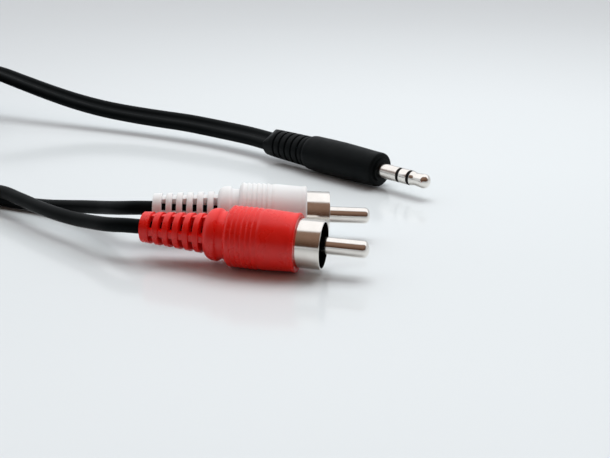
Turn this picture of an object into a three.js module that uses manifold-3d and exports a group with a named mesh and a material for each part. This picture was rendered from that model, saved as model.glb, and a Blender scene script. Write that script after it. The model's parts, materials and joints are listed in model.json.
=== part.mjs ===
// A stereo audio cord. A three-contact jack plug sits on a flat twin cord. The cord is wound
// into a tied coil, then splits into two single leads. Each lead ends in a moulded phono
// plug, one red and one white.
//
// Sizes are in millimetres, angles in degrees. +Z is up, and everything lies on z = 0.
// +X runs along the phono plugs towards their pins, and +Y runs from them to the jack.

import * as THREE from "three";
import { mergeVertices } from "three/addons/utils/BufferGeometryUtils.js";
import Module from "manifold-3d";

const wasm = await Module();
wasm.setup();

// Facets and fits
const FACETS = 24;
const FINE_FIT = 0.07; // radial gap between the nested metal and plastic of a plug
const MOULD_FIT = 0.1; // radial gap round a moulded piece
const SEAM = 0.3; // gap where two solids of the same cord meet

// Phono plug: pin
const PIN_DIAMETER = 3.2;
const PIN_REACH = 8.35; // from the shell's mouth to the pin's tip
const PIN_NOSE = 1.0;
const SHANK_DIAMETER = 2.2;
const SHANK_TAIL = 0.8; // bare shank between the insulator and the solder cup
const SOLDER_CUP_LENGTH = 2.2;
const SOLDER_CUP_BORE = 1.5;

// Phono plug: earth shell
const SHELL_DIAMETER = 9.0;
const SHELL_WALL = 0.35;
const SHELL_REACH = 4.55; // from the boot's front face to the shell's mouth
const SHELL_CUP_DEPTH = 7.0;
const SHELL_FLOOR = 0.5;
const SHELL_LIP = 0.12; // rolled edge of the mouth
const NECK_DIAMETER = 6.0;
const NECK_LENGTH = 3.4;
const TAIL_WIDTH = 2.4;
const TAIL_RUN = 2.2; // flat part of the tail behind the neck
const TAIL_SLOPE = 1.7; // length in which the tail steps down to the cord
const CRIMP_LENGTH = 2.4;
const CRIMP_WALL = 0.4;
const CRIMP_OPENING = 1.6;

// Phono plug: insulator
const INSULATOR_FACE = 1.0;
const INSULATOR_HUB = 3.6;

// Phono plug: inner mould
const MOULD_DIAMETER = 8.4;
const MOULD_TAPER = 1.6;
const MOULD_END_WALL = 1.0;

// Phono plug: boot
const GRIP_LENGTH = 13.1;
const GRIP_BEVEL = 0.4;
const GRIP_FRONT_DIAMETER = 10.7;
const GRIP_SHOULDER_DIAMETER = 11.3; // where the smooth grip meets its ridges
const RIDGE_DIAMETER = 11.5;
const RIDGE_DEPTH = 0.28;
const RIDGE_PITCH = 0.96;
const RIDGE_START = 0.4; // from the grip's back edge to its first ridge
const RIDGE_COUNT = 6;
const LIP_FLARE = 0.14;
const LIP_LENGTH = 0.9;
const GROOVE_WIDTH = 1.4;
const GROOVE_DIAMETER = 8.8;
const DOME_DIAMETER = 9.8;
const DOME_LENGTH = 2.7;
const DOME_RISE_LENGTH = 1.6;
const DOME_BEVEL = 0.4;
const RELIEF_LENGTH = 12.7;
const RELIEF_FRONT_DIAMETER = 7.6;
const RELIEF_END_DIAMETER = 5.8;
const SLOT_COUNT = 6;
const SLOT_PITCH = 2.01;
const SLOT_WIDTH = 0.85;
const SLOT_FIRST = 2.15; // from the boot's end to the middle of its last slot
const SLOT_INSET = 0.35; // how far the webs lie below the ribs
const WEB_WIDTH = 1.3;
const RELIEF_BORE_GAP = 0.3;

// Jack plug: contacts
const JACK_DIAMETER = 3.5;
const JACK_REACH = 14.05;
const SLEEVE_REACH = 5.6;
const BAND_WIDTH = 0.75; // each black insulating band
const RING_WIDTH = 2.2;
const BAND_INSET = 0.03;
const WAIST_DIAMETER = 2.95;
const WAIST_AT = 10.6;
const HEAD_DIAMETER = 3.4;
const HEAD_AT = 12.8;
const NOSE_DIAMETER = 1.7;
const ROD_DIAMETER = 1.0;
const TUBE_WALL = 0.22;
const ROD_TAIL = 6.2; // behind the handle's front face, as are the next three
const FRONT_INSULATOR_TAIL = 4.7;
const RING_TAIL = 3.6;
const REAR_INSULATOR_TAIL = 2.9;
const TAG_LENGTH = 1.8;
const TAG_WIDTH = 1.0;
const FLANGE_DIAMETER = 6.0;
const FLANGE_THICKNESS = 0.6;
const FLANGE_DEPTH = 1.3;
const SLEEVE_SHANK_DIAMETER = 4.4;
const SLEEVE_SHANK_LENGTH = 0.6;
const SLEEVE_TAIL = 12.6;
const SLEEVE_TAIL_WIDTH = 2.0;
const SLEEVE_TAIL_THICKNESS = 0.4;
const SLEEVE_TAIL_INSET = 0.25; // below the surface of the sleeve's shank

// Jack plug: handle
// Barrel of the handle from its back edge to its front edge: diameter and place
const HANDLE_BARREL = [
  [8.3, -22.4],
  [8.6, -21.7],
  [8.76, -17],
  [8.76, -12],
  [8.46, -7],
  [8.18, -3],
  [8.1, -0.4],
];
const HANDLE_CHAMFER = 0.4;
const BOSS_DIAMETER = 5.5; // raised ring of the front face
const BOSS_HEIGHT = 0.5;
const JACK_WAIST_DIAMETER = 7.5; // between the handle and its relief
const JACK_WAIST_LENGTH = 0.8;
const JACK_RELIEF_LENGTH = 13.8;
const JACK_RELIEF_FRONT_DIAMETER = 7.7;
const JACK_RELIEF_BACK_DIAMETER = 7.25;
const JACK_END_DIAMETER = 7.0;
const JACK_END_TAPER = 2.6; // length in which the end flattens towards the cord
const JACK_END_HEIGHT = 4.4; // across the flats, at the end
const COLLAR_GROOVES = 5;
const COLLAR_GROOVE_FIRST = 1.3; // behind the waist
const COLLAR_GROOVE_WIDTH = 0.55;
const COLLAR_GROOVE_DEPTH = 0.35;
const COLLAR_PITCH = 2.15;
const HANDLE_BORE = 6.6;
const HANDLE_BORE_END = 19.4;
const JACK_CORD_END = 14.2; // where the cord's jacket stops inside the handle

// Cords
const LEAD_DIAMETER = 2.8;
const LEAD_SIDES = 8;
const TWIN_WIDTH = 5.6;
const TWIN_THICKNESS = 2.8;
const STEP_DIAMETERS = 2.3; // length of a step along a cord, in cord diameters
const LEAD_CORD_END = 11.3; // where a lead's jacket stops inside its boot
const CORE_DIAMETER = 1.1;
const CONDUCTOR_DIAMETER = 0.6;
const SHIELD_DIAMETER = 0.7;
const SHIELD_RUN = 3.4; // of the jack's shield, from the end of the jacket

// Coil of the twin cord, its wide side upright
const COIL_CENTRE = [-130.7, 72.45];
const COIL_COLUMNS = 2;
const COIL_LAYERS = 3;
const COIL_INNER_TURN = 29; // radius of the inner column of turns
const COLUMN_PITCH = 3.0;
const LAYER_PITCH = 5.65;
const COIL_ROOM = 0.15;
const COIL_LIFT = 0.1; // above the surface it lies on
const COIL_SOFTNESS = 1.0; // bevel of the bundle's edges
const COIL_SIDES = 40;
const TIE_THICKNESS = 0.5;
const TIE_WIDTH = 4.0;
const TIE_GAP = 0.3;
const TIE_AZIMUTH = -60;

// Where the plugs lie: the middle of the front face in plan, the turn towards -Y, the
// angle by which the nose points down, and the roll about the plug's own axis
const SEATS = {
  red: { at: [0.1, -37.35], yaw: 13.2, dip: 1.2, roll: -1.5 },
  white: { at: [1.25, -20.63], yaw: -2.37, dip: 3.04, roll: 74 },
  jack: { at: [19.01, 14.28], yaw: 44.5, dip: 0.2, roll: -28 },
};

// Routes of the cords from their plugs, chosen by hand: x, y, z and, on the twin cord,
// the tilt of its wide side. The points inside a plug come from the plug's own axis.
const JACK_ROUTE = [
  [-11.6, 44.38, 4.6, -28],
  [-15.45, 47.68, 4.7, -28],
  [-23.2, 53.75, 4.8, -26],
  [-31.6, 59.15, 5.1, -24],
  [-40.3, 64.05, 5.2, -22],
  [-49.2, 68.65, 5.5, -19],
  [-58.2, 72.95, 6.2, -16],
  [-67.2, 77.25, 7.5, -13],
  [-76.3, 81.55, 9.4, -11],
  [-85.3, 85.85, 11.6, -10],
  [-93.2, 89.65, 13.5, -12],
  [-100.8, 93.35, 14.3, -20],
];
const SPLIT_ROUTE = [
  [-168, 82.45, 1.9, 14],
  [-165.4, 88.15, 2.1, 24],
  [-162.3, 93.35, 2.4, 36],
  [-158.6, 97.35, 2.6, 50],
];
const WHITE_ROUTE = [
  [-32.2, -21.85, 7.1],
  [-35.4, -19.85, 6.4],
  [-40, -14.85, 4.8],
  [-44.8, -10.75, 3.6],
  [-48.8, -7.85, 2.7],
  [-53.8, -5.05, 1.9],
  [-57.7, -3.25, 1.6],
  [-62.6, -1.05, 1.5],
  [-66.4, 0.85, 1.5],
  [-75.1, 5.95, 1.5],
  [-84.6, 12.55, 1.5],
  [-95.6, 19.75, 1.5],
  [-108.6, 26.95, 1.5],
  [-123.6, 32.95, 1.5],
  [-140.3, 36.45, 1.5],
  [-154.7, 43.95, 1.5],
  [-164.3, 56.65, 1.5],
  [-167.9, 70.35, 1.5],
  [-168, 80.95, 1.6],
];
const RED_ROUTE = [
  [-32.75, -30.12, 6.4],
  [-36, -28.85, 6.1],
  [-40.5, -25.05, 5.3],
  [-44.1, -21.95, 4.8],
  [-47.9, -18.85, 4.6],
  [-53.3, -14.05, 4.5],
  [-59.1, -8.25, 4.5],
  [-65.1, -2.55, 4.4],
  [-70.9, 0.45, 3.7],
  [-76.8, 3.15, 2.8],
  [-86.4, 9.75, 1.8],
  [-97.1, 16.85, 1.5],
  [-109.9, 23.95, 1.5],
  [-124.4, 29.85, 1.5],
  [-141.2, 33.35, 1.5],
  [-156.9, 41.55, 1.5],
  [-167.2, 55.45, 1.5],
  [-171, 70.35, 1.5],
  [-170.8, 81.55, 1.6],
];

// Finishes
const FINISHES = {
  red: { color: 0xaf1510, roughness: 0.42, metalness: 0 },
  white: { color: 0xdcd6d2, roughness: 0.45, metalness: 0 },
  black: { color: 0x141617, roughness: 0.5, metalness: 0 },
  cord: { color: 0x0d0f10, roughness: 0.45, metalness: 0 },
  nickel: { color: 0xc9c3bb, roughness: 0.18, metalness: 1 },
  insulator: { color: 0x121212, roughness: 0.5, metalness: 0 },
  mould: { color: 0xd8d2c0, roughness: 0.6, metalness: 0 },
  core: { color: 0xc23a2e, roughness: 0.5, metalness: 0 },
  copper: { color: 0xb06a3c, roughness: 0.4, metalness: 1 },
  tie: { color: 0x1c1c1c, roughness: 0.6, metalness: 0 },
};

// Basic operations

const radians = THREE.MathUtils.degToRad;

// A section of [radius, along] points, counter-clockwise, turned about the Y axis.
function revolve(section, facets = FACETS) {
  const points = section.map(([radius, along]) => new THREE.Vector2(radius, along));
  return new THREE.LatheGeometry(points, facets);
}

// The same, for a hollow piece whose section closes on itself.
function revolveRing(section, facets = FACETS) {
  return revolve([...section, section[0]], facets);
}

function outline(points) {
  return new THREE.Shape(points.map(([x, y]) => new THREE.Vector2(x, y)));
}

// A flat shape given thickness along Z, with z = 0 in its middle.
function plate(shape, thickness) {
  const geometry = new THREE.ExtrudeGeometry(shape, { depth: thickness, bevelEnabled: false });
  return geometry.translate(0, 0, -thickness / 2);
}

function box(low, high) {
  const size = low.map((value, k) => high[k] - value);
  const middle = low.map((value, k) => (high[k] + value) / 2);
  return new THREE.BoxGeometry(...size).translate(...middle);
}

function toSolid(geometry) {
  const bare = geometry.clone();
  bare.deleteAttribute("normal");
  bare.deleteAttribute("uv");
  const merged = mergeVertices(bare, 1e-4);
  return new wasm.Manifold(
    new wasm.Mesh({
      numProp: 3,
      vertProperties: merged.getAttribute("position").array,
      triVerts: new Uint32Array(merged.index.array),
    }),
  );
}

function toGeometry(solid) {
  const made = solid.getMesh();
  const geometry = new THREE.BufferGeometry();
  geometry.setAttribute("position", new THREE.BufferAttribute(made.vertProperties, 3));
  geometry.setIndex(new THREE.BufferAttribute(made.triVerts, 1));
  geometry.computeVertexNormals();
  return geometry;
}

function join(...pieces) {
  return toGeometry(pieces.map(toSolid).reduce((whole, piece) => whole.add(piece)));
}

function cut(body, ...tools) {
  return toGeometry(
    tools.map(toSolid).reduce((whole, tool) => whole.subtract(tool), toSolid(body)),
  );
}

function part(name, geometry, finish) {
  const mesh = new THREE.Mesh(geometry, new THREE.MeshStandardMaterial(FINISHES[finish]));
  mesh.name = name;
  return mesh;
}

// Phono plug, built along +Y with the boot's front face at y = 0

const mouth = SHELL_REACH;
const cupFloor = mouth - SHELL_CUP_DEPTH;
const shellBack = cupFloor - SHELL_FLOOR;
const neckBack = shellBack - NECK_LENGTH;
const neckRadius = NECK_DIAMETER / 2;
const crimpInner = LEAD_DIAMETER / 2 + MOULD_FIT;
const crimpOuter = crimpInner + CRIMP_WALL;
const crimpFront = neckBack - TAIL_RUN - TAIL_SLOPE;
const crimpBack = crimpFront - CRIMP_LENGTH;
const mouldBack = crimpBack - MOULD_FIT - MOULD_END_WALL;
const insulatorFront = cupFloor + INSULATOR_FACE;
const insulatorBack = insulatorFront - INSULATOR_FACE - INSULATOR_HUB;
const cupBack = insulatorBack - SHANK_TAIL - SOLDER_CUP_LENGTH;
const bootEnd = -(GRIP_LENGTH + GROOVE_WIDTH + DOME_LENGTH + RELIEF_LENGTH);

// The shell's cup, floor and neck are one drawn cup. Its tail is a tongue that steps down
// to the lead and wraps it as an open crimp.
function earthShell() {
  const outer = SHELL_DIAMETER / 2;
  const inner = outer - SHELL_WALL;
  const neckInner = neckRadius - SHELL_WALL;
  const cup = revolveRing([
    [neckInner, neckBack],
    [neckRadius, neckBack],
    [neckRadius, shellBack],
    [outer, shellBack],
    [outer, mouth - SHELL_LIP],
    [outer - SHELL_LIP, mouth],
    [inner, mouth],
    [inner, cupFloor],
    [neckInner, cupFloor],
  ]);
  const tongue = plate(
    outline([
      [neckInner, neckBack + 1],
      [neckInner, neckBack - TAIL_RUN],
      [crimpInner, crimpFront],
      [crimpInner, crimpBack],
      [crimpOuter, crimpBack],
      [crimpOuter, crimpFront],
      [neckRadius, neckBack - TAIL_RUN],
      [neckRadius, neckBack + 1],
    ]),
    TAIL_WIDTH,
  );
  const band = revolveRing([
    [crimpInner, crimpBack],
    [crimpOuter, crimpBack],
    [crimpOuter, crimpFront],
    [crimpInner, crimpFront],
  ]);
  const half = CRIMP_OPENING / 2;
  const opening = box([-2 * crimpOuter, crimpBack - 1, -half], [0, crimpFront + 1, half]);
  // The tongue's corners reach past the round walls it joins, so they are trimmed to them.
  const envelope = revolve([
    [0, crimpBack],
    [crimpOuter, crimpBack],
    [crimpOuter, crimpFront],
    [neckRadius, neckBack - TAIL_RUN],
    [neckRadius, neckBack + 1],
    [0, neckBack + 1],
  ]);
  const tail = toGeometry(toSolid(tongue).intersect(toSolid(envelope)));
  return join(cup, tail, cut(band, opening));
}

function insulator() {
  const face = SHELL_DIAMETER / 2 - SHELL_WALL - FINE_FIT;
  const hub = neckRadius - SHELL_WALL - FINE_FIT;
  const bore = SHANK_DIAMETER / 2 + FINE_FIT;
  return revolveRing([
    [bore, insulatorBack],
    [hub, insulatorBack],
    [hub, cupFloor + FINE_FIT],
    [face, cupFloor + FINE_FIT],
    [face, insulatorFront],
    [bore, insulatorFront],
  ]);
}

// A turned pin with a round nose, a thinner shank through the insulator, and a half-open
// solder cup on its end.
function centrePin() {
  const radius = PIN_DIAMETER / 2;
  const shank = SHANK_DIAMETER / 2;
  const tip = mouth + PIN_REACH;
  const nose = [90, 68, 46, 24, 0].map((angle) => [
    radius * Math.cos(radians(90 - angle)),
    tip - PIN_NOSE * (1 - Math.sin(radians(90 - angle))),
  ]);
  const body = revolve([
    [0, cupBack],
    [shank, cupBack],
    [shank, insulatorFront + FINE_FIT],
    [radius, insulatorFront + FINE_FIT],
    ...nose,
  ]);
  const well = revolve([
    [0, cupBack - 1],
    [SOLDER_CUP_BORE / 2, cupBack - 1],
    [SOLDER_CUP_BORE / 2, cupBack + SOLDER_CUP_LENGTH],
    [0, cupBack + SOLDER_CUP_LENGTH],
  ]);
  const mouthCut = box(
    [-2 * shank, cupBack - 1, 0],
    [2 * shank, cupBack + 0.7 * SOLDER_CUP_LENGTH, 2 * shank],
  );
  return cut(body, well, mouthCut);
}

// The lead's insulated core, with its bare conductor lying in the solder cup.
function signalWire() {
  const core = CORE_DIAMETER / 2;
  const conductor = CONDUCTOR_DIAMETER / 2;
  return revolve(
    [
      [0, -LEAD_CORD_END + SEAM],
      [core, -LEAD_CORD_END + SEAM],
      [core, cupBack - SEAM],
      [conductor, cupBack - SEAM],
      [conductor, cupBack + SOLDER_CUP_LENGTH - SEAM],
      [0, cupBack + SOLDER_CUP_LENGTH - SEAM],
    ],
    12,
  );
}

// The twisted shield, from the end of the jacket to the inside of the shell's tongue.
function shieldTail() {
  const start = -LEAD_CORD_END + SEAM;
  const seat = neckRadius - SHELL_WALL - SHIELD_DIAMETER / 2 - FINE_FIT;
  const low = CORE_DIAMETER / 2 + SHIELD_DIAMETER / 2 + FINE_FIT;
  const path = new THREE.CatmullRomCurve3([
    new THREE.Vector3(low, start, 0),
    new THREE.Vector3(low, start + 0.5, 0),
    new THREE.Vector3(seat, neckBack - 1.6, 0),
    new THREE.Vector3(seat, neckBack - 0.4, 0),
  ]);
  const strand = new THREE.Shape().absarc(0, 0, SHIELD_DIAMETER / 2, 0, 2 * Math.PI);
  return new THREE.ExtrudeGeometry(strand, { steps: 6, curveSegments: 3, extrudePath: path });
}

// The hard inner moulding that closes over the shell's tail and the solder joints.
function innerMould() {
  const outer = MOULD_DIAMETER / 2;
  const wide = neckRadius + MOULD_FIT;
  const narrow = crimpOuter + MOULD_FIT;
  const cord = LEAD_DIAMETER / 2 + MOULD_FIT;
  const front = shellBack - MOULD_FIT;
  return revolveRing([
    [cord, mouldBack],
    [outer - MOULD_TAPER / 2, mouldBack],
    [outer, mouldBack + MOULD_TAPER],
    [outer, front],
    [wide, front],
    [wide, neckBack - TAIL_RUN - MOULD_FIT],
    [narrow, crimpFront - MOULD_FIT],
    [narrow, crimpBack - MOULD_FIT],
    [cord, crimpBack - MOULD_FIT],
  ]);
}

// Outside of the boot from its cord end to its front face.
function bootOutside() {
  const reliefFront = bootEnd + RELIEF_LENGTH;
  const reliefRadius = (along) =>
    THREE.MathUtils.mapLinear(
      along,
      bootEnd,
      reliefFront,
      RELIEF_END_DIAMETER / 2,
      RELIEF_FRONT_DIAMETER / 2,
    );
  const section = [[reliefRadius(bootEnd) - 0.35, bootEnd]];
  section.push([reliefRadius(bootEnd), bootEnd + 0.4]);
  for (let k = 0; k < SLOT_COUNT; k++) {
    const middle = bootEnd + SLOT_FIRST + k * SLOT_PITCH;
    const back = middle - SLOT_WIDTH / 2;
    const front = middle + SLOT_WIDTH / 2;
    section.push([reliefRadius(back), back]);
    section.push([reliefRadius(back) - SLOT_INSET, back]);
    section.push([reliefRadius(front) - SLOT_INSET, front]);
    section.push([reliefRadius(front), front]);
  }
  // A quarter ellipse makes the dome between the relief and the grip.
  const domeBase = RELIEF_FRONT_DIAMETER / 2;
  const domeRise = DOME_DIAMETER / 2 - domeBase;
  for (const angle of [0, 30, 60, 90]) {
    section.push([
      domeBase + domeRise * Math.sin(radians(angle)),
      reliefFront + DOME_RISE_LENGTH * (1 - Math.cos(radians(angle))),
    ]);
  }
  section.push([DOME_DIAMETER / 2, reliefFront + DOME_LENGTH - DOME_BEVEL]);
  section.push([GROOVE_DIAMETER / 2, reliefFront + DOME_LENGTH]);
  section.push([GROOVE_DIAMETER / 2, -GRIP_LENGTH]);
  const peak = RIDGE_DIAMETER / 2;
  section.push([peak - RIDGE_DEPTH - GRIP_BEVEL, -GRIP_LENGTH]);
  section.push([peak - RIDGE_DEPTH, -GRIP_LENGTH + GRIP_BEVEL]);
  for (let k = 0; k < RIDGE_COUNT; k++) {
    const start = -GRIP_LENGTH + RIDGE_START + k * RIDGE_PITCH;
    section.push([peak, start + 0.35 * RIDGE_PITCH]);
    section.push([peak - RIDGE_DEPTH, start + RIDGE_PITCH]);
  }
  const lipBack = -LIP_LENGTH;
  const ridgesEnd = -GRIP_LENGTH + RIDGE_START + RIDGE_COUNT * RIDGE_PITCH;
  section.push([GRIP_SHOULDER_DIAMETER / 2, ridgesEnd + 0.5]);
  section.push([GRIP_FRONT_DIAMETER / 2, lipBack]);
  section.push([GRIP_FRONT_DIAMETER / 2 + LIP_FLARE, -0.2]);
  section.push([GRIP_FRONT_DIAMETER / 2 + LIP_FLARE - 0.2, 0]);
  return section;
}

// Inside of the boot from its front face to its cord end: the seat of the shell, the room
// of the inner mould, and the bore that the lead runs through.
function bootInside() {
  const seat = SHELL_DIAMETER / 2 + MOULD_FIT;
  const room = MOULD_DIAMETER / 2 + MOULD_FIT;
  const bore = LEAD_DIAMETER / 2 + RELIEF_BORE_GAP;
  return [
    [seat, 0],
    [seat, shellBack - MOULD_FIT / 2],
    [room, shellBack - MOULD_FIT / 2],
    [room, mouldBack + MOULD_TAPER - MOULD_FIT],
    [room - MOULD_TAPER / 2, mouldBack - MOULD_FIT],
    [bore, mouldBack - MOULD_FIT],
    [bore, bootEnd],
  ];
}

// At each slot four windows run through to the lead. Four webs stay between them.
function reliefWindows() {
  const near = WEB_WIDTH / 2;
  const far = RELIEF_FRONT_DIAMETER;
  const windows = [];
  for (let k = 0; k < SLOT_COUNT; k++) {
    const back = bootEnd + SLOT_FIRST + k * SLOT_PITCH - SLOT_WIDTH / 2;
    const front = back + SLOT_WIDTH;
    for (const [x, z] of [[1, 1], [1, -1], [-1, 1], [-1, -1]]) {
      const low = [Math.min(x * near, x * far), back, Math.min(z * near, z * far)];
      const high = [Math.max(x * near, x * far), front, Math.max(z * near, z * far)];
      windows.push(box(low, high));
    }
  }
  return windows;
}

function boot() {
  return cut(revolveRing([...bootOutside(), ...bootInside()]), ...reliefWindows());
}

function phonoPieces(colour) {
  return [
    part(`${colour}_boot`, boot(), colour),
    part(`${colour}_shell`, earthShell(), "nickel"),
    part(`${colour}_pin`, centrePin(), "nickel"),
    part(`${colour}_insulator`, insulator(), "insulator"),
    part(`${colour}_inner_mould`, innerMould(), "mould"),
    part(`${colour}_signal_wire`, signalWire(), "core"),
    part(`${colour}_shield_tail`, shieldTail(), "copper"),
  ];
}

// Jack plug, built along +Y with the handle's front face at y = 0

const jackRadius = JACK_DIAMETER / 2;
const rodRadius = ROD_DIAMETER / 2;
const frontTube = rodRadius + FINE_FIT;
const ringTube = frontTube + TUBE_WALL + FINE_FIT;
const rearTube = ringTube + TUBE_WALL + FINE_FIT;
const sleeveBore = rearTube + TUBE_WALL + FINE_FIT;
const ringBack = SLEEVE_REACH + BAND_WIDTH;
const ringFront = ringBack + RING_WIDTH;
const tipBack = ringFront + BAND_WIDTH;
const flangeFront = -FLANGE_DEPTH;
const flangeBack = flangeFront - FLANGE_THICKNESS;
const sleeveShankBack = flangeBack - SLEEVE_SHANK_LENGTH;
const tongueTop = SLEEVE_SHANK_DIAMETER / 2 - SLEEVE_TAIL_INSET;
const tongueUnder = tongueTop - SLEEVE_TAIL_THICKNESS;
const jackWaistFront = HANDLE_BARREL[0][1];
const jackReliefFront = jackWaistFront - JACK_WAIST_LENGTH;
const jackEnd = jackReliefFront - JACK_RELIEF_LENGTH;

// The tip and the rod that carries it are one turned piece.
function jackTip() {
  return revolve([
    [0, -ROD_TAIL],
    [rodRadius, -ROD_TAIL],
    [rodRadius, tipBack + FINE_FIT],
    [HEAD_DIAMETER / 2, tipBack + FINE_FIT],
    [WAIST_DIAMETER / 2 + 0.04, WAIST_AT - 0.35],
    [WAIST_DIAMETER / 2, WAIST_AT],
    [HEAD_DIAMETER / 2 - 0.05, HEAD_AT - 0.5],
    [HEAD_DIAMETER / 2, HEAD_AT],
    [HEAD_DIAMETER / 2 - 0.25, HEAD_AT + 0.6],
    [NOSE_DIAMETER / 2, JACK_REACH - 0.2],
    [NOSE_DIAMETER / 4, JACK_REACH],
    [0, JACK_REACH],
  ]);
}

// A black band that shows between two contacts, with its tube inside the one behind it.
function jackInsulator(tube, tail, back, front) {
  const band = jackRadius - BAND_INSET;
  return revolveRing([
    [tube, tail],
    [tube + TUBE_WALL, tail],
    [tube + TUBE_WALL, back + FINE_FIT],
    [band, back + FINE_FIT],
    [band, front],
    [tube, front],
  ]);
}

function jackRing() {
  const tube = revolveRing([
    [ringTube, -RING_TAIL],
    [ringTube + TUBE_WALL, -RING_TAIL],
    [ringTube + TUBE_WALL, ringBack + FINE_FIT],
    [jackRadius, ringBack + FINE_FIT],
    [jackRadius, ringFront],
    [ringTube, ringFront],
  ]);
  const half = TAG_WIDTH / 2;
  const tag = box(
    [ringTube + 0.04, -RING_TAIL - TAG_LENGTH, -half / 2],
    [ringTube + TUBE_WALL, -RING_TAIL + 0.5, half / 2],
  );
  return join(tube, tag);
}

// The sleeve, its flange behind the handle's face, and the long earth tongue.
function jackSleeve() {
  const shank = SLEEVE_SHANK_DIAMETER / 2;
  const body = revolveRing([
    [sleeveBore, sleeveShankBack],
    [shank, sleeveShankBack],
    [shank, flangeBack],
    [FLANGE_DIAMETER / 2, flangeBack],
    [FLANGE_DIAMETER / 2, flangeFront],
    [jackRadius, flangeFront],
    [jackRadius, SLEEVE_REACH],
    [sleeveBore, SLEEVE_REACH],
  ]);
  const half = SLEEVE_TAIL_WIDTH / 2;
  const tongue = box(
    [-half, -SLEEVE_TAIL, tongueUnder],
    [half, sleeveShankBack + 0.3, tongueTop],
  );
  return join(body, tongue);
}

function twinSection(extra = 0) {
  const end = TWIN_THICKNESS / 2 + extra;
  const middle = (TWIN_WIDTH - TWIN_THICKNESS) / 2;
  const points = [];
  for (const [side, first] of [[1, -90], [-1, 90]]) {
    for (let k = 0; k < 5; k++) {
      const angle = radians(first + 45 * k);
      points.push([side * middle + end * Math.cos(angle), end * Math.sin(angle)]);
    }
  }
  return outline(points);
}

// The slot for the flat cord, along Y, with its wide side along X.
function cordSlot(back, front) {
  const slot = plate(twinSection(RELIEF_BORE_GAP), front - back);
  return slot.rotateX(Math.PI / 2).translate(0, (back + front) / 2, 0);
}

function jackMould() {
  const outer = HANDLE_BORE / 2 - MOULD_FIT;
  const wide = SLEEVE_SHANK_DIAMETER / 2 + MOULD_FIT;
  const back = -HANDLE_BORE_END + MOULD_FIT + MOULD_TAPER / 2;
  const front = flangeBack - MOULD_FIT;
  const body = revolve([
    [0, back],
    [outer - MOULD_TAPER / 2, back],
    [outer, back + MOULD_TAPER / 2],
    [outer, front],
    [wide, front],
    [wide, -JACK_CORD_END + MOULD_FIT],
    [0, -JACK_CORD_END + MOULD_FIT],
  ]);
  return cut(body, cordSlot(back - 1, -JACK_CORD_END + 1));
}

// Outside of the jack's moulding from its cord end to its front face: a relief with grooves
// round it, a waist, and the barrel that the fingers hold.
function jackOutside() {
  const taperFront = jackEnd + JACK_END_TAPER;
  const reliefRadius = (along) =>
    THREE.MathUtils.mapLinear(
      along,
      taperFront,
      jackReliefFront,
      JACK_RELIEF_BACK_DIAMETER / 2,
      JACK_RELIEF_FRONT_DIAMETER / 2,
    );
  const section = [
    [JACK_END_DIAMETER / 2, jackEnd],
    [reliefRadius(taperFront), taperFront],
  ];
  for (let k = COLLAR_GROOVES - 1; k >= 0; k--) {
    const middle = jackReliefFront - COLLAR_GROOVE_FIRST - k * COLLAR_PITCH;
    const back = middle - COLLAR_GROOVE_WIDTH / 2;
    const front = middle + COLLAR_GROOVE_WIDTH / 2;
    section.push([reliefRadius(back), back]);
    section.push([reliefRadius(back) - COLLAR_GROOVE_DEPTH, back]);
    section.push([reliefRadius(front) - COLLAR_GROOVE_DEPTH, front]);
    section.push([reliefRadius(front), front]);
  }
  section.push([JACK_RELIEF_FRONT_DIAMETER / 2, jackReliefFront]);
  section.push([JACK_WAIST_DIAMETER / 2, jackReliefFront]);
  section.push([JACK_WAIST_DIAMETER / 2, jackWaistFront]);
  for (const [diameter, along] of HANDLE_BARREL) section.push([diameter / 2, along]);
  return section;
}

// Wedges above and below the end, which bring its round shape down to the flat cord.
function endWedges() {
  const high = JACK_RELIEF_BACK_DIAMETER / 2;
  const low = JACK_END_HEIGHT / 2;
  const taperFront = jackEnd + JACK_END_TAPER;
  const wedge = outline([
    [high, taperFront],
    [2 * high, taperFront],
    [2 * high, jackEnd - JACK_END_TAPER],
    [2 * low - high, jackEnd - JACK_END_TAPER],
  ]);
  return [90, -90].map((angle) => plate(wedge, 4 * high).rotateY(radians(angle)));
}

// Inside of the handle: the contacts' way through the face, and the room of the mould.
function jackHandle() {
  const bore = HANDLE_BORE / 2;
  const hole = jackRadius + MOULD_FIT;
  const handle = revolve([
    [0, jackEnd],
    ...jackOutside(),
    [HANDLE_BARREL.at(-1)[0] / 2 - HANDLE_CHAMFER, 0],
    [BOSS_DIAMETER / 2, 0],
    [BOSS_DIAMETER / 2, BOSS_HEIGHT],
    [hole, BOSS_HEIGHT],
    [hole, flangeFront + MOULD_FIT],
    [bore, flangeFront + MOULD_FIT],
    [bore, -HANDLE_BORE_END + MOULD_TAPER / 2],
    [bore - MOULD_TAPER / 2, -HANDLE_BORE_END],
    [0, -HANDLE_BORE_END],
  ]);
  return cut(handle, cordSlot(jackEnd - 1, -HANDLE_BORE_END + 1), ...endWedges());
}

function wire(points, radius) {
  const path = new THREE.CatmullRomCurve3(points.map((point) => new THREE.Vector3(...point)));
  const strand = new THREE.Shape().absarc(0, 0, radius, 0, 2 * Math.PI);
  return new THREE.ExtrudeGeometry(strand, { steps: 8, curveSegments: 3, extrudePath: path });
}

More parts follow.
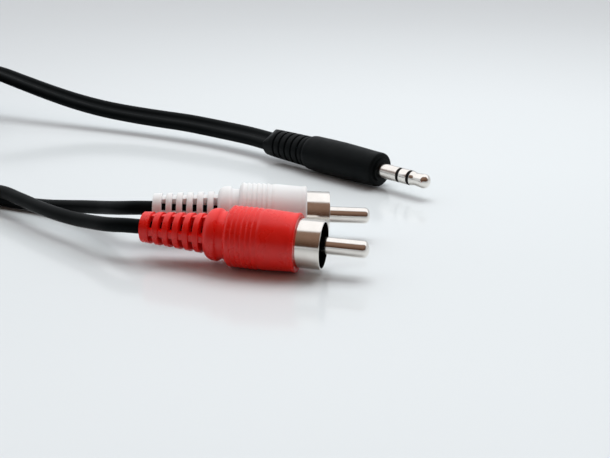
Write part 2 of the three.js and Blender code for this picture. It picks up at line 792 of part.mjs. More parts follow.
// From the two halves of the twin cord to the rod, the ring's tag and the earth tongue.
function jackWires() {
  const half = (TWIN_WIDTH - TWIN_THICKNESS) / 2;
  const core = CORE_DIAMETER / 2;
  const start = -JACK_CORD_END + SEAM;
  const tagSide = ringTube + TUBE_WALL + core / 2 + FINE_FIT;
  const tagEnd = -RING_TAIL - TAG_LENGTH;
  const tongueSide = tongueUnder - SHIELD_DIAMETER / 2 - FINE_FIT;
  return [
    part("jack_tip_wire", wire([
      [-half, start, 0],
      [-half, start + 1.5, 0],
      [0, -ROD_TAIL - 2, -0.2],
      [0, -ROD_TAIL - SEAM / 2, 0],
    ], core * 0.8), "core"),
    part("jack_ring_wire", wire([
      [half, start, 0],
      [half, start + 1.5, 0],
      [tagSide, tagEnd - 1, 0],
      [tagSide, tagEnd + 1, 0],
    ], core / 2), "core"),
    part("jack_shield_tail", wire([
      [0, start, tongueSide - 0.4],
      [0, start + 0.8, tongueSide - 0.2],
      [0, start + 1.8, tongueSide],
      [0, start + SHIELD_RUN, tongueSide],
    ], SHIELD_DIAMETER / 2), "copper"),
  ];
}

function jackPieces() {
  return [
    part("jack_tip", jackTip(), "nickel"),
    part(
      "jack_front_insulator",
      jackInsulator(frontTube, -FRONT_INSULATOR_TAIL, ringFront, tipBack),
      "insulator",
    ),
    part("jack_ring", jackRing(), "nickel"),
    part(
      "jack_rear_insulator",
      jackInsulator(rearTube, -REAR_INSULATOR_TAIL, SLEEVE_REACH, ringBack),
      "insulator",
    ),
    part("jack_sleeve", jackSleeve(), "nickel"),
    part("jack_inner_mould", jackMould(), "mould"),
    part("jack_handle", jackHandle(), "black"),
    ...jackWires(),
  ];
}

// Laying the plugs on the surface

// Height of a plug's axis at its front face, so that its lowest rim just touches z = 0.
function seatHeight(rims, dip) {
  const slope = radians(dip);
  return Math.max(...rims.map(([radius, along]) => radius * Math.cos(slope) + along * Math.sin(slope)));
}

function lay(pieces, seat, height) {
  const turned = new THREE.Group();
  turned.rotation.z = -Math.PI / 2;
  for (const piece of pieces) piece.rotation.y = -radians(seat.roll);
  turned.add(...pieces);
  const dipped = new THREE.Group();
  dipped.rotation.y = radians(seat.dip);
  dipped.add(turned);
  const placed = new THREE.Group();
  placed.rotation.z = -radians(seat.yaw);
  placed.position.set(seat.at[0], seat.at[1], height);
  placed.add(dipped);
  return placed;
}

// A point on a plug's axis, at a distance along it from the front face.
function onAxis(seat, height, along) {
  const yaw = radians(seat.yaw);
  const dip = radians(seat.dip);
  const flat = along * Math.cos(dip);
  return [
    seat.at[0] + flat * Math.cos(yaw),
    seat.at[1] - flat * Math.sin(yaw),
    height - along * Math.sin(dip),
  ];
}

const phonoRims = bootOutside();
const redHeight = seatHeight(phonoRims, SEATS.red.dip);
const whiteHeight = seatHeight(phonoRims, SEATS.white.dip);
const jackRims = HANDLE_BARREL.map(([diameter, along]) => [diameter / 2, along]);
const jackHeight = seatHeight(jackRims, SEATS.jack.dip);

// Cords

// A smooth line through points, whose cross-section keeps its wide side at a given tilt
// above the horizontal instead of following the line's own twist.
class CordLine extends THREE.CatmullRomCurve3 {
  constructor(points) {
    super(points.map(([x, y, z]) => new THREE.Vector3(x, y, z)), false, "centripetal");
    this.tilts = points.map((point) => radians(point[3] ?? 0));
  }

  tiltAt(share) {
    const place = this.getUtoTmapping(share) * (this.tilts.length - 1);
    const before = Math.min(Math.floor(place), this.tilts.length - 2);
    return THREE.MathUtils.lerp(this.tilts[before], this.tilts[before + 1], place - before);
  }

  computeFrenetFrames(steps) {
    const frames = { tangents: [], normals: [], binormals: [] };
    for (let k = 0; k <= steps; k++) {
      const tangent = this.getTangentAt(k / steps);
      const side = new THREE.Vector3(0, 0, 1).cross(tangent).normalize();
      const normal = side.applyAxisAngle(tangent, this.tiltAt(k / steps));
      frames.tangents.push(tangent);
      frames.normals.push(normal);
      frames.binormals.push(tangent.clone().cross(normal));
    }
    return frames;
  }
}

function cordTube(section, points, diameter) {
  const line = new CordLine(points);
  const steps = Math.round(line.getLength() / (STEP_DIAMETERS * diameter));
  return new THREE.ExtrudeGeometry(section, { steps, extrudePath: line, bevelEnabled: false });
}

function leadSection() {
  const points = [];
  for (let k = 0; k < LEAD_SIDES; k++) {
    const angle = radians((360 * (k + 0.5)) / LEAD_SIDES);
    points.push([(LEAD_DIAMETER / 2) * Math.cos(angle), (LEAD_DIAMETER / 2) * Math.sin(angle)]);
  }
  return outline(points);
}

function cordPieces() {
  const red = [-LEAD_CORD_END, -20, -26, bootEnd].map((at) => onAxis(SEATS.red, redHeight, at));
  const white = [-LEAD_CORD_END, -20, -26, bootEnd].map((at) =>
    onAxis(SEATS.white, whiteHeight, at),
  );
  const jack = [-JACK_CORD_END, -20, -28, jackEnd].map((at) => [
    ...onAxis(SEATS.jack, jackHeight, at),
    SEATS.jack.roll,
  ]);
  return [
    part("jack_cord", cordTube(twinSection(), [...jack, ...JACK_ROUTE], TWIN_WIDTH), "cord"),
    part("split_cord", cordTube(twinSection(), SPLIT_ROUTE, TWIN_WIDTH), "cord"),
    part("white_lead", cordTube(leadSection(), [...white, ...WHITE_ROUTE], LEAD_DIAMETER), "cord"),
    part("red_lead", cordTube(leadSection(), [...red, ...RED_ROUTE], LEAD_DIAMETER), "cord"),
  ];
}

// The outer shape of the coil, drawn in where the tie goes round its bundle of turns.
function coilPieces() {
  const inner = COIL_INNER_TURN - TWIN_THICKNESS / 2 - COIL_ROOM;
  const outer = inner + (COIL_COLUMNS - 1) * COLUMN_PITCH + TWIN_THICKNESS + 2 * COIL_ROOM;
  const bottom = COIL_LIFT;
  const top = bottom + (COIL_LAYERS - 1) * LAYER_PITCH + TWIN_WIDTH + 2 * COIL_ROOM;
  const bundle = revolveRing(
    [
      [inner + COIL_SOFTNESS, bottom],
      [outer - COIL_SOFTNESS, bottom],
      [outer, bottom + COIL_SOFTNESS],
      [outer, top - COIL_SOFTNESS],
      [outer - COIL_SOFTNESS, top],
      [inner + COIL_SOFTNESS, top],
      [inner, top - COIL_SOFTNESS],
      [inner, bottom + COIL_SOFTNESS],
    ],
    COIL_SIDES,
  ).rotateX(Math.PI / 2);
  // A frame round the bundle's section, whose outer edge stands proud of it and whose
  // inner edge lies inside it.
  const frame = (proud, inset, width) => {
    const rectangle = (grow) => [
      [inner - grow, bottom - grow],
      [outer + grow, bottom - grow],
      [outer + grow, top + grow],
      [inner - grow, top + grow],
    ];
    const band = outline(rectangle(proud));
    band.holes.push(outline(rectangle(-inset)));
    return plate(band, width).rotateX(Math.PI / 2).rotateZ(radians(TIE_AZIMUTH));
  };
  const waist = frame(1, TIE_THICKNESS + TIE_GAP, TIE_WIDTH + 2 * TIE_GAP);
  const coil = cut(bundle, waist);
  const tie = frame(0, TIE_THICKNESS, TIE_WIDTH);
  const pieces = [part("cord_coil", coil, "cord"), part("coil_tie", tie, "tie")];
  for (const piece of pieces) piece.position.set(...COIL_CENTRE, 0);
  return pieces;
}

const audioCord = new THREE.Group();
audioCord.add(
  lay(phonoPieces("red"), SEATS.red, redHeight),
  lay(phonoPieces("white"), SEATS.white, whiteHeight),
  lay(jackPieces(), SEATS.jack, jackHeight),
  ...cordPieces(),
  ...coilPieces(),
);

export default audioCord;
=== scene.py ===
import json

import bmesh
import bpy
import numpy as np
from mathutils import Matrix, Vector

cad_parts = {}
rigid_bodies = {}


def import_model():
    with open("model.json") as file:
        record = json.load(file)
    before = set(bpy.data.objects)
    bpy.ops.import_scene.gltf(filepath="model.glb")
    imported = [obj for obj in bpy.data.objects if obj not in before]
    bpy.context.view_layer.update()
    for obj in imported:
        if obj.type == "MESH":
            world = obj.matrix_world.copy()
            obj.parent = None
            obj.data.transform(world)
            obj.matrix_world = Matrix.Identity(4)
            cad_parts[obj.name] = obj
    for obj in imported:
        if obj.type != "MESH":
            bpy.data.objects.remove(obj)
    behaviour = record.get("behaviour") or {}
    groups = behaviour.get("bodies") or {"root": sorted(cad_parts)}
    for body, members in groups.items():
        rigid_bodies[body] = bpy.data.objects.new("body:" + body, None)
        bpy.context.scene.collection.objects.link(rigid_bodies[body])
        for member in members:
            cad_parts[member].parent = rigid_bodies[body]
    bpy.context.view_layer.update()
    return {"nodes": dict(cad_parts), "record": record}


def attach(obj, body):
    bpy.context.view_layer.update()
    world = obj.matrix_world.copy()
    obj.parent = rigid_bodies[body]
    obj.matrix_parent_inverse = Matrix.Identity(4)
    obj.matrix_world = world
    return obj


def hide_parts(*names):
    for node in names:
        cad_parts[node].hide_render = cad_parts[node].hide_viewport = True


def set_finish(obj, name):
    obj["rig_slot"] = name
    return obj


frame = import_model()

# %% [markdown]
# # A stereo audio cable
# The cable is a jack plug, a flat twin cord, a tied coil of that cord, and two single leads
# that end in a red and a white phono plug. The imported model already holds every piece at its
# real size. This script gives it finer surfaces, its finishes, a floor, light and a camera.

MM = 0.001

# %% [markdown]
# ## Camera
# The photograph looks down on the plugs from about twenty degrees, from close by. The place
# and the lens were solved from the plugs' known sizes and then corrected by a millimetre in
# height, so they are plain numbers here. The camera only pitches, because the photograph's
# uprights stay upright.

# %% Camera
CAMERA_AT = (1.16, -191.49, 63.8)
LOOKS_DOWN = 19.82
FOCAL_PIXELS = 910.21
FRAME_PIXELS = (610, 458)
SENSOR = 36.0
NEAREST_SEEN = 0.005

camera = bpy.data.objects.new("camera", bpy.data.cameras.new("camera"))
camera.data.sensor_width = SENSOR
camera.data.lens = FOCAL_PIXELS / FRAME_PIXELS[0] * SENSOR
camera.data.clip_start = NEAREST_SEEN
camera.location = Vector(CAMERA_AT) * MM
camera.rotation_euler = (np.radians(90 - LOOKS_DOWN), 0, 0)
bpy.context.scene.collection.objects.link(camera)
bpy.context.scene.camera = camera
print("lens, mm:", round(camera.data.lens, 2))

# %% [markdown]
# ## Where the plugs lie
# Each plug has its own axis. The seat gives the middle of its front face in plan, its turn
# towards the camera, how far its nose points down, its roll, and the height of its axis. A
# piece of a plug is drawn along its own y axis with the front face at zero, then placed.

# %% Seats of the plugs
SEATS = {
    "red": dict(at=(0.1, -37.35), yaw=13.2, dip=1.2, roll=-1.5, height=5.5903),
    "white": dict(at=(1.25, -20.63), yaw=-2.37, dip=3.04, roll=74.0, height=5.4717),
    "jack": dict(at=(19.01, 14.28), yaw=44.5, dip=0.2, roll=-28.0, height=4.3381),
}


def plug_axes(seat):
    """Rows of a turn matrix: the plug's own x, y and z directions in the row frame."""
    yaw, dip, roll = np.radians([seat["yaw"], seat["dip"], seat["roll"]])
    ahead = np.array([np.cos(dip) * np.cos(yaw), -np.cos(dip) * np.sin(yaw), -np.sin(dip)])
    aside = np.array([-np.sin(yaw), -np.cos(yaw), 0.0])
    above = np.array([np.sin(dip) * np.cos(yaw), -np.sin(dip) * np.sin(yaw), np.cos(dip)])
    x = np.cos(roll) * aside + np.sin(roll) * above
    z = -np.sin(roll) * aside + np.cos(roll) * above
    return np.array([x, ahead, z])


def in_place(points, plug):
    """Points of a plug, in mm along its own axes, as points of the row frame in mm."""
    seat = SEATS[plug]
    return points @ plug_axes(seat) + np.array([*seat["at"], seat["height"]])


for plug in SEATS:
    print(plug, "points along", np.round(plug_axes(SEATS[plug])[1], 3))

# %% [markdown]
# ## Routes of the cords
# A cord lies where its weight and its bends put it. Each route is a list of given points, at
# the same places as in the part's source. The fourth number is the tilt of a flat
# cord's wide side. Where the camera sees the flat cord, it leans further towards the camera
# than the solid does, because the photograph shows more of its wide side.

# %% Routes
JACK_ROUTE = [
    (-11.6, 44.38, 4.6, -29), (-15.45, 47.68, 4.7, -31), (-23.2, 53.75, 4.8, -33),
    (-31.6, 59.15, 5.1, -34), (-40.3, 64.05, 5.2, -34), (-49.2, 68.65, 5.5, -33),
    (-58.2, 72.95, 6.2, -31), (-67.2, 77.25, 7.5, -28), (-76.3, 81.55, 9.4, -24),
    (-85.3, 85.85, 11.6, -20), (-93.2, 89.65, 13.5, -18), (-100.8, 93.35, 14.3, -20),
]
SPLIT_ROUTE = [
    (-168, 82.45, 1.9, 14), (-165.4, 88.15, 2.1, 24),
    (-162.3, 93.35, 2.4, 36), (-158.6, 97.35, 2.6, 50),
]
WHITE_ROUTE = [
    (-32.2, -21.85, 7.1), (-35.4, -19.85, 6.4), (-40, -14.85, 4.8), (-44.8, -10.75, 3.6),
    (-48.8, -7.85, 2.7), (-53.8, -5.05, 1.9), (-57.7, -3.25, 1.6), (-62.6, -1.05, 1.5),
    (-66.4, 0.85, 1.5), (-75.1, 5.95, 1.5), (-84.6, 12.55, 1.5), (-95.6, 19.75, 1.5),
    (-108.6, 26.95, 1.5), (-123.6, 32.95, 1.5), (-140.3, 36.45, 1.5), (-154.7, 43.95, 1.5),
    (-164.3, 56.65, 1.5), (-167.9, 70.35, 1.5), (-168, 80.95, 1.6),
]
RED_ROUTE = [
    (-32.75, -30.12, 6.4), (-36, -28.85, 6.1), (-40.5, -25.05, 5.3), (-44.1, -21.95, 4.8),
    (-47.9, -18.85, 4.6), (-53.3, -14.05, 4.5), (-59.1, -8.25, 4.5), (-65.1, -2.55, 4.4),
    (-70.9, 0.45, 3.7), (-76.8, 3.15, 2.8), (-86.4, 9.75, 1.8), (-97.1, 16.85, 1.5),
    (-109.9, 23.95, 1.5), (-124.4, 29.85, 1.5), (-141.2, 33.35, 1.5), (-156.9, 41.55, 1.5),
    (-167.2, 55.45, 1.5), (-171, 70.35, 1.5), (-170.8, 81.55, 1.6),
]
print("route points:", [len(r) for r in (JACK_ROUTE, SPLIT_ROUTE, WHITE_ROUTE, RED_ROUTE)])

# %% [markdown]
# ## A smooth line through points
# Straight pieces between the points would show as kinks. A centripetal Catmull-Rom line
# passes through every point and never overshoots where the points crowd together, so it
# suits a cord. The line is then cut into equal steps.

# %% Smooth line
POINTS_BETWEEN = 24


def distances(line):
    """Distance of each point from the start, along the line."""
    steps = np.linalg.norm(np.diff(line[:, :3], axis=0), axis=1)
    return np.concatenate([[0], np.cumsum(steps)])


def smooth_line(points, step):
    """Centripetal Catmull-Rom line. The knot spacing is the square root of each chord, each
    stretch blends its four nearest points, and the result is resampled at equal steps."""
    p = np.asarray(points, float)
    p = np.vstack([2 * p[0] - p[1], p, 2 * p[-1] - p[-2]])
    chord = np.sqrt(np.linalg.norm(np.diff(p[:, :3], axis=0), axis=1))
    knot = np.concatenate([[0], np.cumsum(chord)])
    a, b, c, d = p[:-3, None], p[1:-2, None], p[2:-1, None], p[3:, None]
    ta, tb, tc, td = (knot[k:len(knot) - 3 + k, None, None] for k in range(4))
    t = tb + (tc - tb) * np.linspace(0, 1, POINTS_BETWEEN, endpoint=False)[None, :, None]
    ab = a + (b - a) * (t - ta) / (tb - ta)
    bc = b + (c - b) * (t - tb) / (tc - tb)
    cd = c + (d - c) * (t - tc) / (td - tc)
    abc = ab + (bc - ab) * (t - ta) / (tc - ta)
    bcd = bc + (cd - bc) * (t - tb) / (td - tb)
    dense = (abc + (bcd - abc) * (t - tb) / (tc - tb)).reshape(-1, p.shape[1])
    dense = np.vstack([dense, p[-2]])
    along = distances(dense)
    even = np.linspace(0, along[-1], int(round(along[-1] / step)) + 1)
    return np.stack([np.interp(even, along, column) for column in dense.T], axis=1)


def line_length(line):
    return float(distances(line)[-1])


print("jack route, mm:", round(line_length(smooth_line(JACK_ROUTE, 1.0)), 1))

# %% [markdown]
# ## The coil
# The length that the photograph does not show is put away in a neat coil beside the view.
# The flat cord stands on its edge and lies in two columns and up to three layers. It enters at
# the bottom outside, and each turn steps into the next place while it goes round, so that it
# never passes through itself. The steps are smooth rises in radius and height.

# %% Line of the coil
COIL_CENTRE = (-130.7, 72.45)
COIL_START, COIL_END = -26.0, 1440.0
COIL_PLACES = np.array([(32, 2.95), (29, 2.95), (29, 8.6), (32, 8.6), (32, 14.25)])
COIL_STEPS = np.array([(230, 264), (553, 588), (876, 911), (1199, 1236)])
COIL_ANGLE_ZERO = 64.0
COIL_RING_EVERY = 12.0
ON_EDGE = -90.0
TILT_AT_END = -50.0
TURNS_DOWN_FROM = COIL_END - 90


def coil_line():
    """Angle runs evenly. Radius and height are the first place plus each later place's
    change, times a smooth step from 0 to 1 over that step's stretch of angle."""
    turn = np.arange(COIL_START, COIL_END + 1, COIL_RING_EVERY)
    share = (turn[:, None] - COIL_STEPS[:, 0]) / (COIL_STEPS[:, 1] - COIL_STEPS[:, 0])
    share = np.clip(share, 0, 1)
    share = share * share * (3 - 2 * share)
    radius, height = (COIL_PLACES[0] + share @ np.diff(COIL_PLACES, axis=0)).T
    azimuth = np.radians(COIL_ANGLE_ZERO - turn)
    tilt = np.interp(turn, [TURNS_DOWN_FROM, COIL_END], [ON_EDGE, TILT_AT_END])
    x = COIL_CENTRE[0] + radius * np.cos(azimuth)
    y = COIL_CENTRE[1] + radius * np.sin(azimuth)
    return np.stack([x, y, height, tilt], axis=1)


print("coil, mm:", round(line_length(coil_line()), 1))

# %% [markdown]
# ## Centrelines of the three cords
# The twin cord runs from inside the jack's handle, over the top turn, down through the coil
# and on to the split. Its first points follow the jack's axis, because it starts inside the
# handle. The two leads start inside their boots in the same way and run to the same split,
# where each goes on from one half of the twin cord.

# %% Centrelines
JACK_END = -37.0
BOOT_END = -29.9
JACK_CORD_STARTS = (-14.2, -20, -28, JACK_END)
LEAD_STARTS = (-11.3, -20, -26, BOOT_END)
SPLIT_AT = (-168.55, 81.03, 1.55, 0)
CORD_STEP = 0.9


def from_plug(plug, starts):
    points = np.array([(0, along, 0) for along in starts], float)
    return in_place(points, plug)


def with_tilt(points, tilt):
    return np.column_stack([points, np.full(len(points), float(tilt))])


jack_start = with_tilt(from_plug("jack", JACK_CORD_STARTS), SEATS["jack"]["roll"])
split_end = np.array(SPLIT_ROUTE[::-1]) * (1, 1, 1, -1)
main_line = smooth_line(
    np.vstack([jack_start, JACK_ROUTE, coil_line()[::-1], split_end, SPLIT_AT]), CORD_STEP
)
white_line = smooth_line(np.vstack([from_plug("white", LEAD_STARTS), WHITE_ROUTE]), CORD_STEP)
red_line = smooth_line(np.vstack([from_plug("red", LEAD_STARTS), RED_ROUTE]), CORD_STEP)
for line in (main_line, white_line, red_line):
    print("cord, mm:", round(line_length(line), 1), "rings:", len(line))

# %% [markdown]
# ## From a grid of points to a mesh
# Every new surface here is a grid: one direction runs along a piece and the other goes round
# it. Numpy works out all the points at once, and neighbours in the grid make the faces. Where
# a ring shrinks to one point, the doubles are merged, which closes the end.

# %% Grid to mesh
MERGE_WITHIN = 0.0005
THINNEST_EDGE = 0.0002


def grid_faces(rings, columns, keep=None):
    """Quads between neighbours of a grid that is closed round its columns. keep is an array
    of which quads to make, one row for each stretch between two rings."""
    row = np.arange(rings - 1)[:, None] * columns
    here = np.arange(columns)[None, :]
    there = (here + 1) % columns
    quads = np.stack([row + here, row + there, row + columns + there, row + columns + here], -1)
    return quads.reshape(-1, 4) if keep is None else quads[keep]


def end_caps(rings, columns):
    """One face across the first ring and one across the last."""
    return [tuple(range(columns))[::-1], tuple((rings - 1) * columns + np.arange(columns))]


def make_piece(name, points_mm, faces, slot, flat_above=40.0):
    """A mesh object from points in mm in the row frame. Corners sharper than flat_above
    degrees stay sharp in its shading."""
    mesh = bpy.data.meshes.new(name)
    mesh.from_pydata((np.asarray(points_mm) * MM).tolist(), [], [list(f) for f in faces])
    shape = bmesh.new()
    shape.from_mesh(mesh)
    bmesh.ops.remove_doubles(shape, verts=shape.verts, dist=MERGE_WITHIN * MM)
    bmesh.ops.dissolve_degenerate(shape, edges=shape.edges, dist=THINNEST_EDGE * MM)
    bmesh.ops.recalc_face_normals(shape, faces=shape.faces)
    shape.to_mesh(mesh)
    shape.free()
    mesh.polygons.foreach_set("use_smooth", np.ones(len(mesh.polygons), bool))
    mesh.set_sharp_from_angle(angle=np.radians(flat_above))
    piece = bpy.data.objects.new(name, mesh)
    bpy.context.scene.collection.objects.link(piece)
    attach(piece, "root")
    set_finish(piece, slot)
    return piece


# %% [markdown]
# ## Cord surfaces
# A cord is one outline carried along a line. A single lead has a round outline. The twin
# cord's outline is two rounds side by side with a shallow groove where they meet, which is
# where the two halves part at the split. The outline turns with the tilt of the line.

# %% Outlines and the carry along a line
LEAD_RADIUS = 1.4
GROOVE_HALF_ANGLE = 46.0


def round_outline(radius, count=20):
    angle = np.arange(count) * 2 * np.pi / count
    return np.stack([radius * np.cos(angle), radius * np.sin(angle)], axis=1)


def twin_outline(radius, count=17):
    """The right half is an arc round one conductor that stops short of the groove. The left
    half is the same arc turned by half a turn."""
    angle = np.radians(np.linspace(-180 + GROOVE_HALF_ANGLE, 180 - GROOVE_HALF_ANGLE, count))
    half = np.stack([radius * (1 + np.cos(angle)), radius * np.sin(angle)], axis=1)
    return np.vstack([half, -half])


def carried(line, outline):
    """Each ring is the outline in the plane across the line. Its wide direction starts level
    and turns by the tilt. Point = line + wide * outline x + high * outline y."""
    ahead = np.gradient(line[:, :3], axis=0)
    ahead /= np.linalg.norm(ahead, axis=1)[:, None]
    aside = np.cross([0.0, 0.0, 1.0], ahead)
    aside /= np.linalg.norm(aside, axis=1)[:, None]
    above = np.cross(ahead, aside)
    tilt = np.radians(line[:, 3] if line.shape[1] > 3 else np.zeros(len(line)))[:, None]
    wide = aside * np.cos(tilt) + above * np.sin(tilt)
    high = above * np.cos(tilt) - aside * np.sin(tilt)
    points = (
        line[:, None, :3]
        + wide[:, None] * outline[None, :, :1]
        + high[:, None] * outline[None, :, 1:]
    )
    return points.reshape(-1, 3)


def cord_piece(name, line, outline):
    rings, columns = len(line), len(outline)
    faces = [*grid_faces(rings, columns).tolist(), *end_caps(rings, columns)]
    return make_piece(name, carried(line, outline), faces, "cord", flat_above=50.0)


twin_cord = cord_piece("twin_cord", main_line, twin_outline(LEAD_RADIUS))
white_cord = cord_piece("white_lead_cord", white_line, round_outline(LEAD_RADIUS))
red_cord = cord_piece("red_lead_cord", red_line, round_outline(LEAD_RADIUS))
print("cord faces:", [len(c.data.polygons) for c in (twin_cord, white_cord, red_cord)])

# %% [markdown]
# ## Hide the model's cords
# The model's own cord pieces are hidden, because the new cord surfaces take their place.
# The twin cord ends where the leads start, and both leads go back into it, so all three are
# joined at their far ends.


def declare(nodes):
    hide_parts(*nodes)


declare(["jack_cord", "cord_coil", "split_cord"])
declare(["white_lead"])
declare(["red_lead"])

# %% [markdown]
# ## Rounded outlines
# A moulded or turned piece has no knife edges. Its outline is given as corners, each with
# the length that its rounding takes. A corner becomes a short curve between its neighbours,
# so light catches every edge as on the real thing.

# %% Rounding of an outline
ARC_POINTS = 5


def rounded(corners, reach, closed=True):
    """Each corner becomes a quadratic curve that starts and ends at reach along its two
    sides, or at 0.45 of a shorter side. Corners are [radius, along] in mm."""
    c = np.asarray(corners, float)
    before, after = np.roll(c, 1, axis=0), np.roll(c, -1, axis=0)
    if not closed:
        before[0], after[-1] = c[0], c[-1]
    back, on = before - c, after - c
    back_length = np.linalg.norm(back, axis=1)[:, None]
    on_length = np.linalg.norm(on, axis=1)[:, None]
    reach = np.broadcast_to(np.asarray(reach, float), len(c))[:, None]
    start = c + back / np.maximum(back_length, 1e-9) * np.minimum(reach, 0.45 * back_length)
    end = c + on / np.maximum(on_length, 1e-9) * np.minimum(reach, 0.45 * on_length)
    t = np.linspace(0, 1, ARC_POINTS)[None, :, None]
    curve = (1 - t) ** 2 * start[:, None] + 2 * t * (1 - t) * c[:, None] + t**2 * end[:, None]
    return curve.reshape(-1, 2)


def on_circle(rings, angle):
    """Points of a turned surface along its own axis: x and z are the radius times cosine and
    sine of the angle, and y is the distance along."""
    radius, along = rings[:, :1], rings[:, 1:]
    x, z = radius * np.cos(angle), radius * np.sin(angle)
    return np.stack([x, np.broadcast_to(along, x.shape), z], axis=-1)


def turned(name, plug, corners, reach, slot, columns=72, closed=True):
    """A rounded outline carried round the plug's axis."""
    rings = rounded(corners, reach, closed)
    if closed:
        rings = np.vstack([rings, rings[:1]])
    angle = np.arange(columns)[None, :] * 2 * np.pi / columns
    points = in_place(on_circle(rings, angle).reshape(-1, 3), plug)
    return make_piece(name, points, grid_faces(len(rings), columns).tolist(), slot)


# %% [markdown]
# ## Phono plug: contacts
# The earth contact is a thin drawn cup that grips the outside of a socket. The signal pin
# stands in its middle on a black insulator. The cup is turned with a rolled lip, and the pin
# with a round nose, because those two edges catch the light at the front of the plug.

# %% Contacts of the phono plugs
CUP_OUTER, CUP_INNER = 4.5, 4.15
NECK_OUTER, NECK_INNER = 3.0, 2.65
SHELL_MOUTH = 4.55
SHELL_CUP = -2.45
SHELL_BACK = -2.95
NECK_BACK = -6.35
SHANK_RADIUS = 1.1
SHANK_BACK = -9.05
PIN_SHOULDER = -1.38
PIN_RADIUS = 1.6
PIN_TIP = 12.9
PIN_NOSE = 1.0


def phono_contacts(plug):
    shell = turned(
        f"{plug}_earth_cup", plug,
        [(NECK_INNER, NECK_BACK), (NECK_OUTER, NECK_BACK), (NECK_OUTER, SHELL_BACK),
         (CUP_OUTER, SHELL_BACK), (CUP_OUTER, SHELL_MOUTH), (CUP_INNER, SHELL_MOUTH),
         (CUP_INNER, SHELL_CUP), (NECK_INNER, SHELL_CUP)],
        [0.05, 0.1, 0.1, 0.25, 0.14, 0.1, 0.1, 0.05], "plated_metal", columns=96,
    )
    turn = np.radians([0, 22.5, 45, 67.5, 90])
    nose = np.stack([PIN_RADIUS * np.cos(turn), PIN_TIP - PIN_NOSE * (1 - np.sin(turn))], 1)
    pin = turned(
        f"{plug}_centre_contact", plug,
        [(0, SHANK_BACK), (SHANK_RADIUS, SHANK_BACK), (SHANK_RADIUS, PIN_SHOULDER),
         (PIN_RADIUS, PIN_SHOULDER), *nose.tolist()],
        [0, 0.1, 0.05, 0.15, 0.3, 0.2, 0.2, 0.2, 0], "plated_metal", closed=False,
    )
    body = turned(
        f"{plug}_insulator_disc", plug,
        [(1.17, -6.05), (2.58, -6.05), (2.58, -2.38), (4.08, -2.38), (4.08, -1.45),
         (3.5, -1.45), (3.4, -1.6), (2.2, -1.6), (2.1, -1.45), (1.17, -1.45)],
        0.08, "insulator",
    )
    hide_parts(f"{plug}_shell")
    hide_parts(f"{plug}_pin")
    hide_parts(f"{plug}_insulator")
    return [shell, pin, body]


contacts = [piece for plug in ("red", "white") for piece in phono_contacts(plug)]
print("contacts:", [len(piece.data.polygons) for piece in contacts])

# %% [markdown]
# ## Phono plug: boot
# The boot is one soft moulding. Its grip has a lip, a long smooth taper and six finger
# ridges. Behind a groove and a small dome comes the strain relief, with six rings of slots.
# Each ring has four windows cut through to the cord, and the four webs between them lie
# below the ribs, so the relief bends as a spring does. A boolean cut would leave ragged
# edges here. Instead the grid's columns follow the flat sides of the webs, the quads of the
# windows are left out, and walls join the outside to the bore.

# %% Outline of the boot
GRIP_BACK = -13.1
DOME_FRONT = -14.5
RELIEF_START = -17.2
RELIEF_RADII = (2.9, 3.8)
DOME_RADIUS, DOME_RISE = 4.9, 1.6
GROOVE_RADIUS = 4.4
RIDGE_COUNT, RIDGE_PITCH = 6, 0.96
RIDGE_TOP, RIDGE_FOOT = 5.75, 5.47
GRIP_BEVEL = 0.4
SLOTS = np.arange(6)
SLOT_WIDTH = 0.85
SLOT_FIRST, SLOT_PITCH = 2.15, 2.01
SLOT_BACKS = BOOT_END + SLOT_FIRST + SLOT_PITCH * SLOTS - SLOT_WIDTH / 2
SLOT_FRONTS = SLOT_BACKS + SLOT_WIDTH
SLOT_INSET = 0.35
BORE = 1.7


def relief_radius(along):
    return np.interp(along, [BOOT_END, RELIEF_START], RELIEF_RADII)


def boot_outside():
    """Corners from the cord end to the front, each with its rounding."""
    back, front = relief_radius(SLOT_BACKS), relief_radius(SLOT_FRONTS)
    slots = np.stack([
        np.stack([back, SLOT_BACKS], 1), np.stack([back - SLOT_INSET, SLOT_BACKS], 1),
        np.stack([front - SLOT_INSET, SLOT_FRONTS], 1), np.stack([front, SLOT_FRONTS], 1),
    ], axis=1).reshape(-1, 2)
    swell = np.radians([0, 30, 60, 90])
    rise = DOME_RADIUS - RELIEF_RADII[1]
    dome = np.stack([RELIEF_RADII[1] + rise * np.sin(swell),
                     RELIEF_START + DOME_RISE * (1 - np.cos(swell))], 1)
    ridge = GRIP_BACK + GRIP_BEVEL + RIDGE_PITCH * np.arange(RIDGE_COUNT)
    ridges = np.stack([
        np.stack([np.full(RIDGE_COUNT, RIDGE_TOP), ridge + 0.35 * RIDGE_PITCH], 1),
        np.stack([np.full(RIDGE_COUNT, RIDGE_FOOT), ridge + RIDGE_PITCH], 1),
    ], axis=1).reshape(-1, 2)
    corners = np.vstack([
        [(RELIEF_RADII[0], BOOT_END)], slots, dome,
        [(DOME_RADIUS, DOME_FRONT - GRIP_BEVEL), (GROOVE_RADIUS, DOME_FRONT)],
        [(GROOVE_RADIUS, GRIP_BACK), (RIDGE_FOOT - GRIP_BEVEL, GRIP_BACK)],
        [(RIDGE_FOOT, GRIP_BACK + GRIP_BEVEL)], ridges,
        [(5.65, -6.44), (5.35, -0.9), (5.49, -0.2), (5.29, 0)],
    ])
    reach = np.concatenate([
        [0.45], np.tile([0.2, 0.05, 0.05, 0.2], len(SLOTS)), [0.35, 0.4, 0.4, 0.4],
        [0.3, 0.3, 0.2],
        [0.25, 0.2], np.tile([0.2, 0.1], RIDGE_COUNT), [0.4, 0.3, 0.12, 0.1],
    ])
    return corners, reach


print("boot outline corners:", len(boot_outside()[0]))

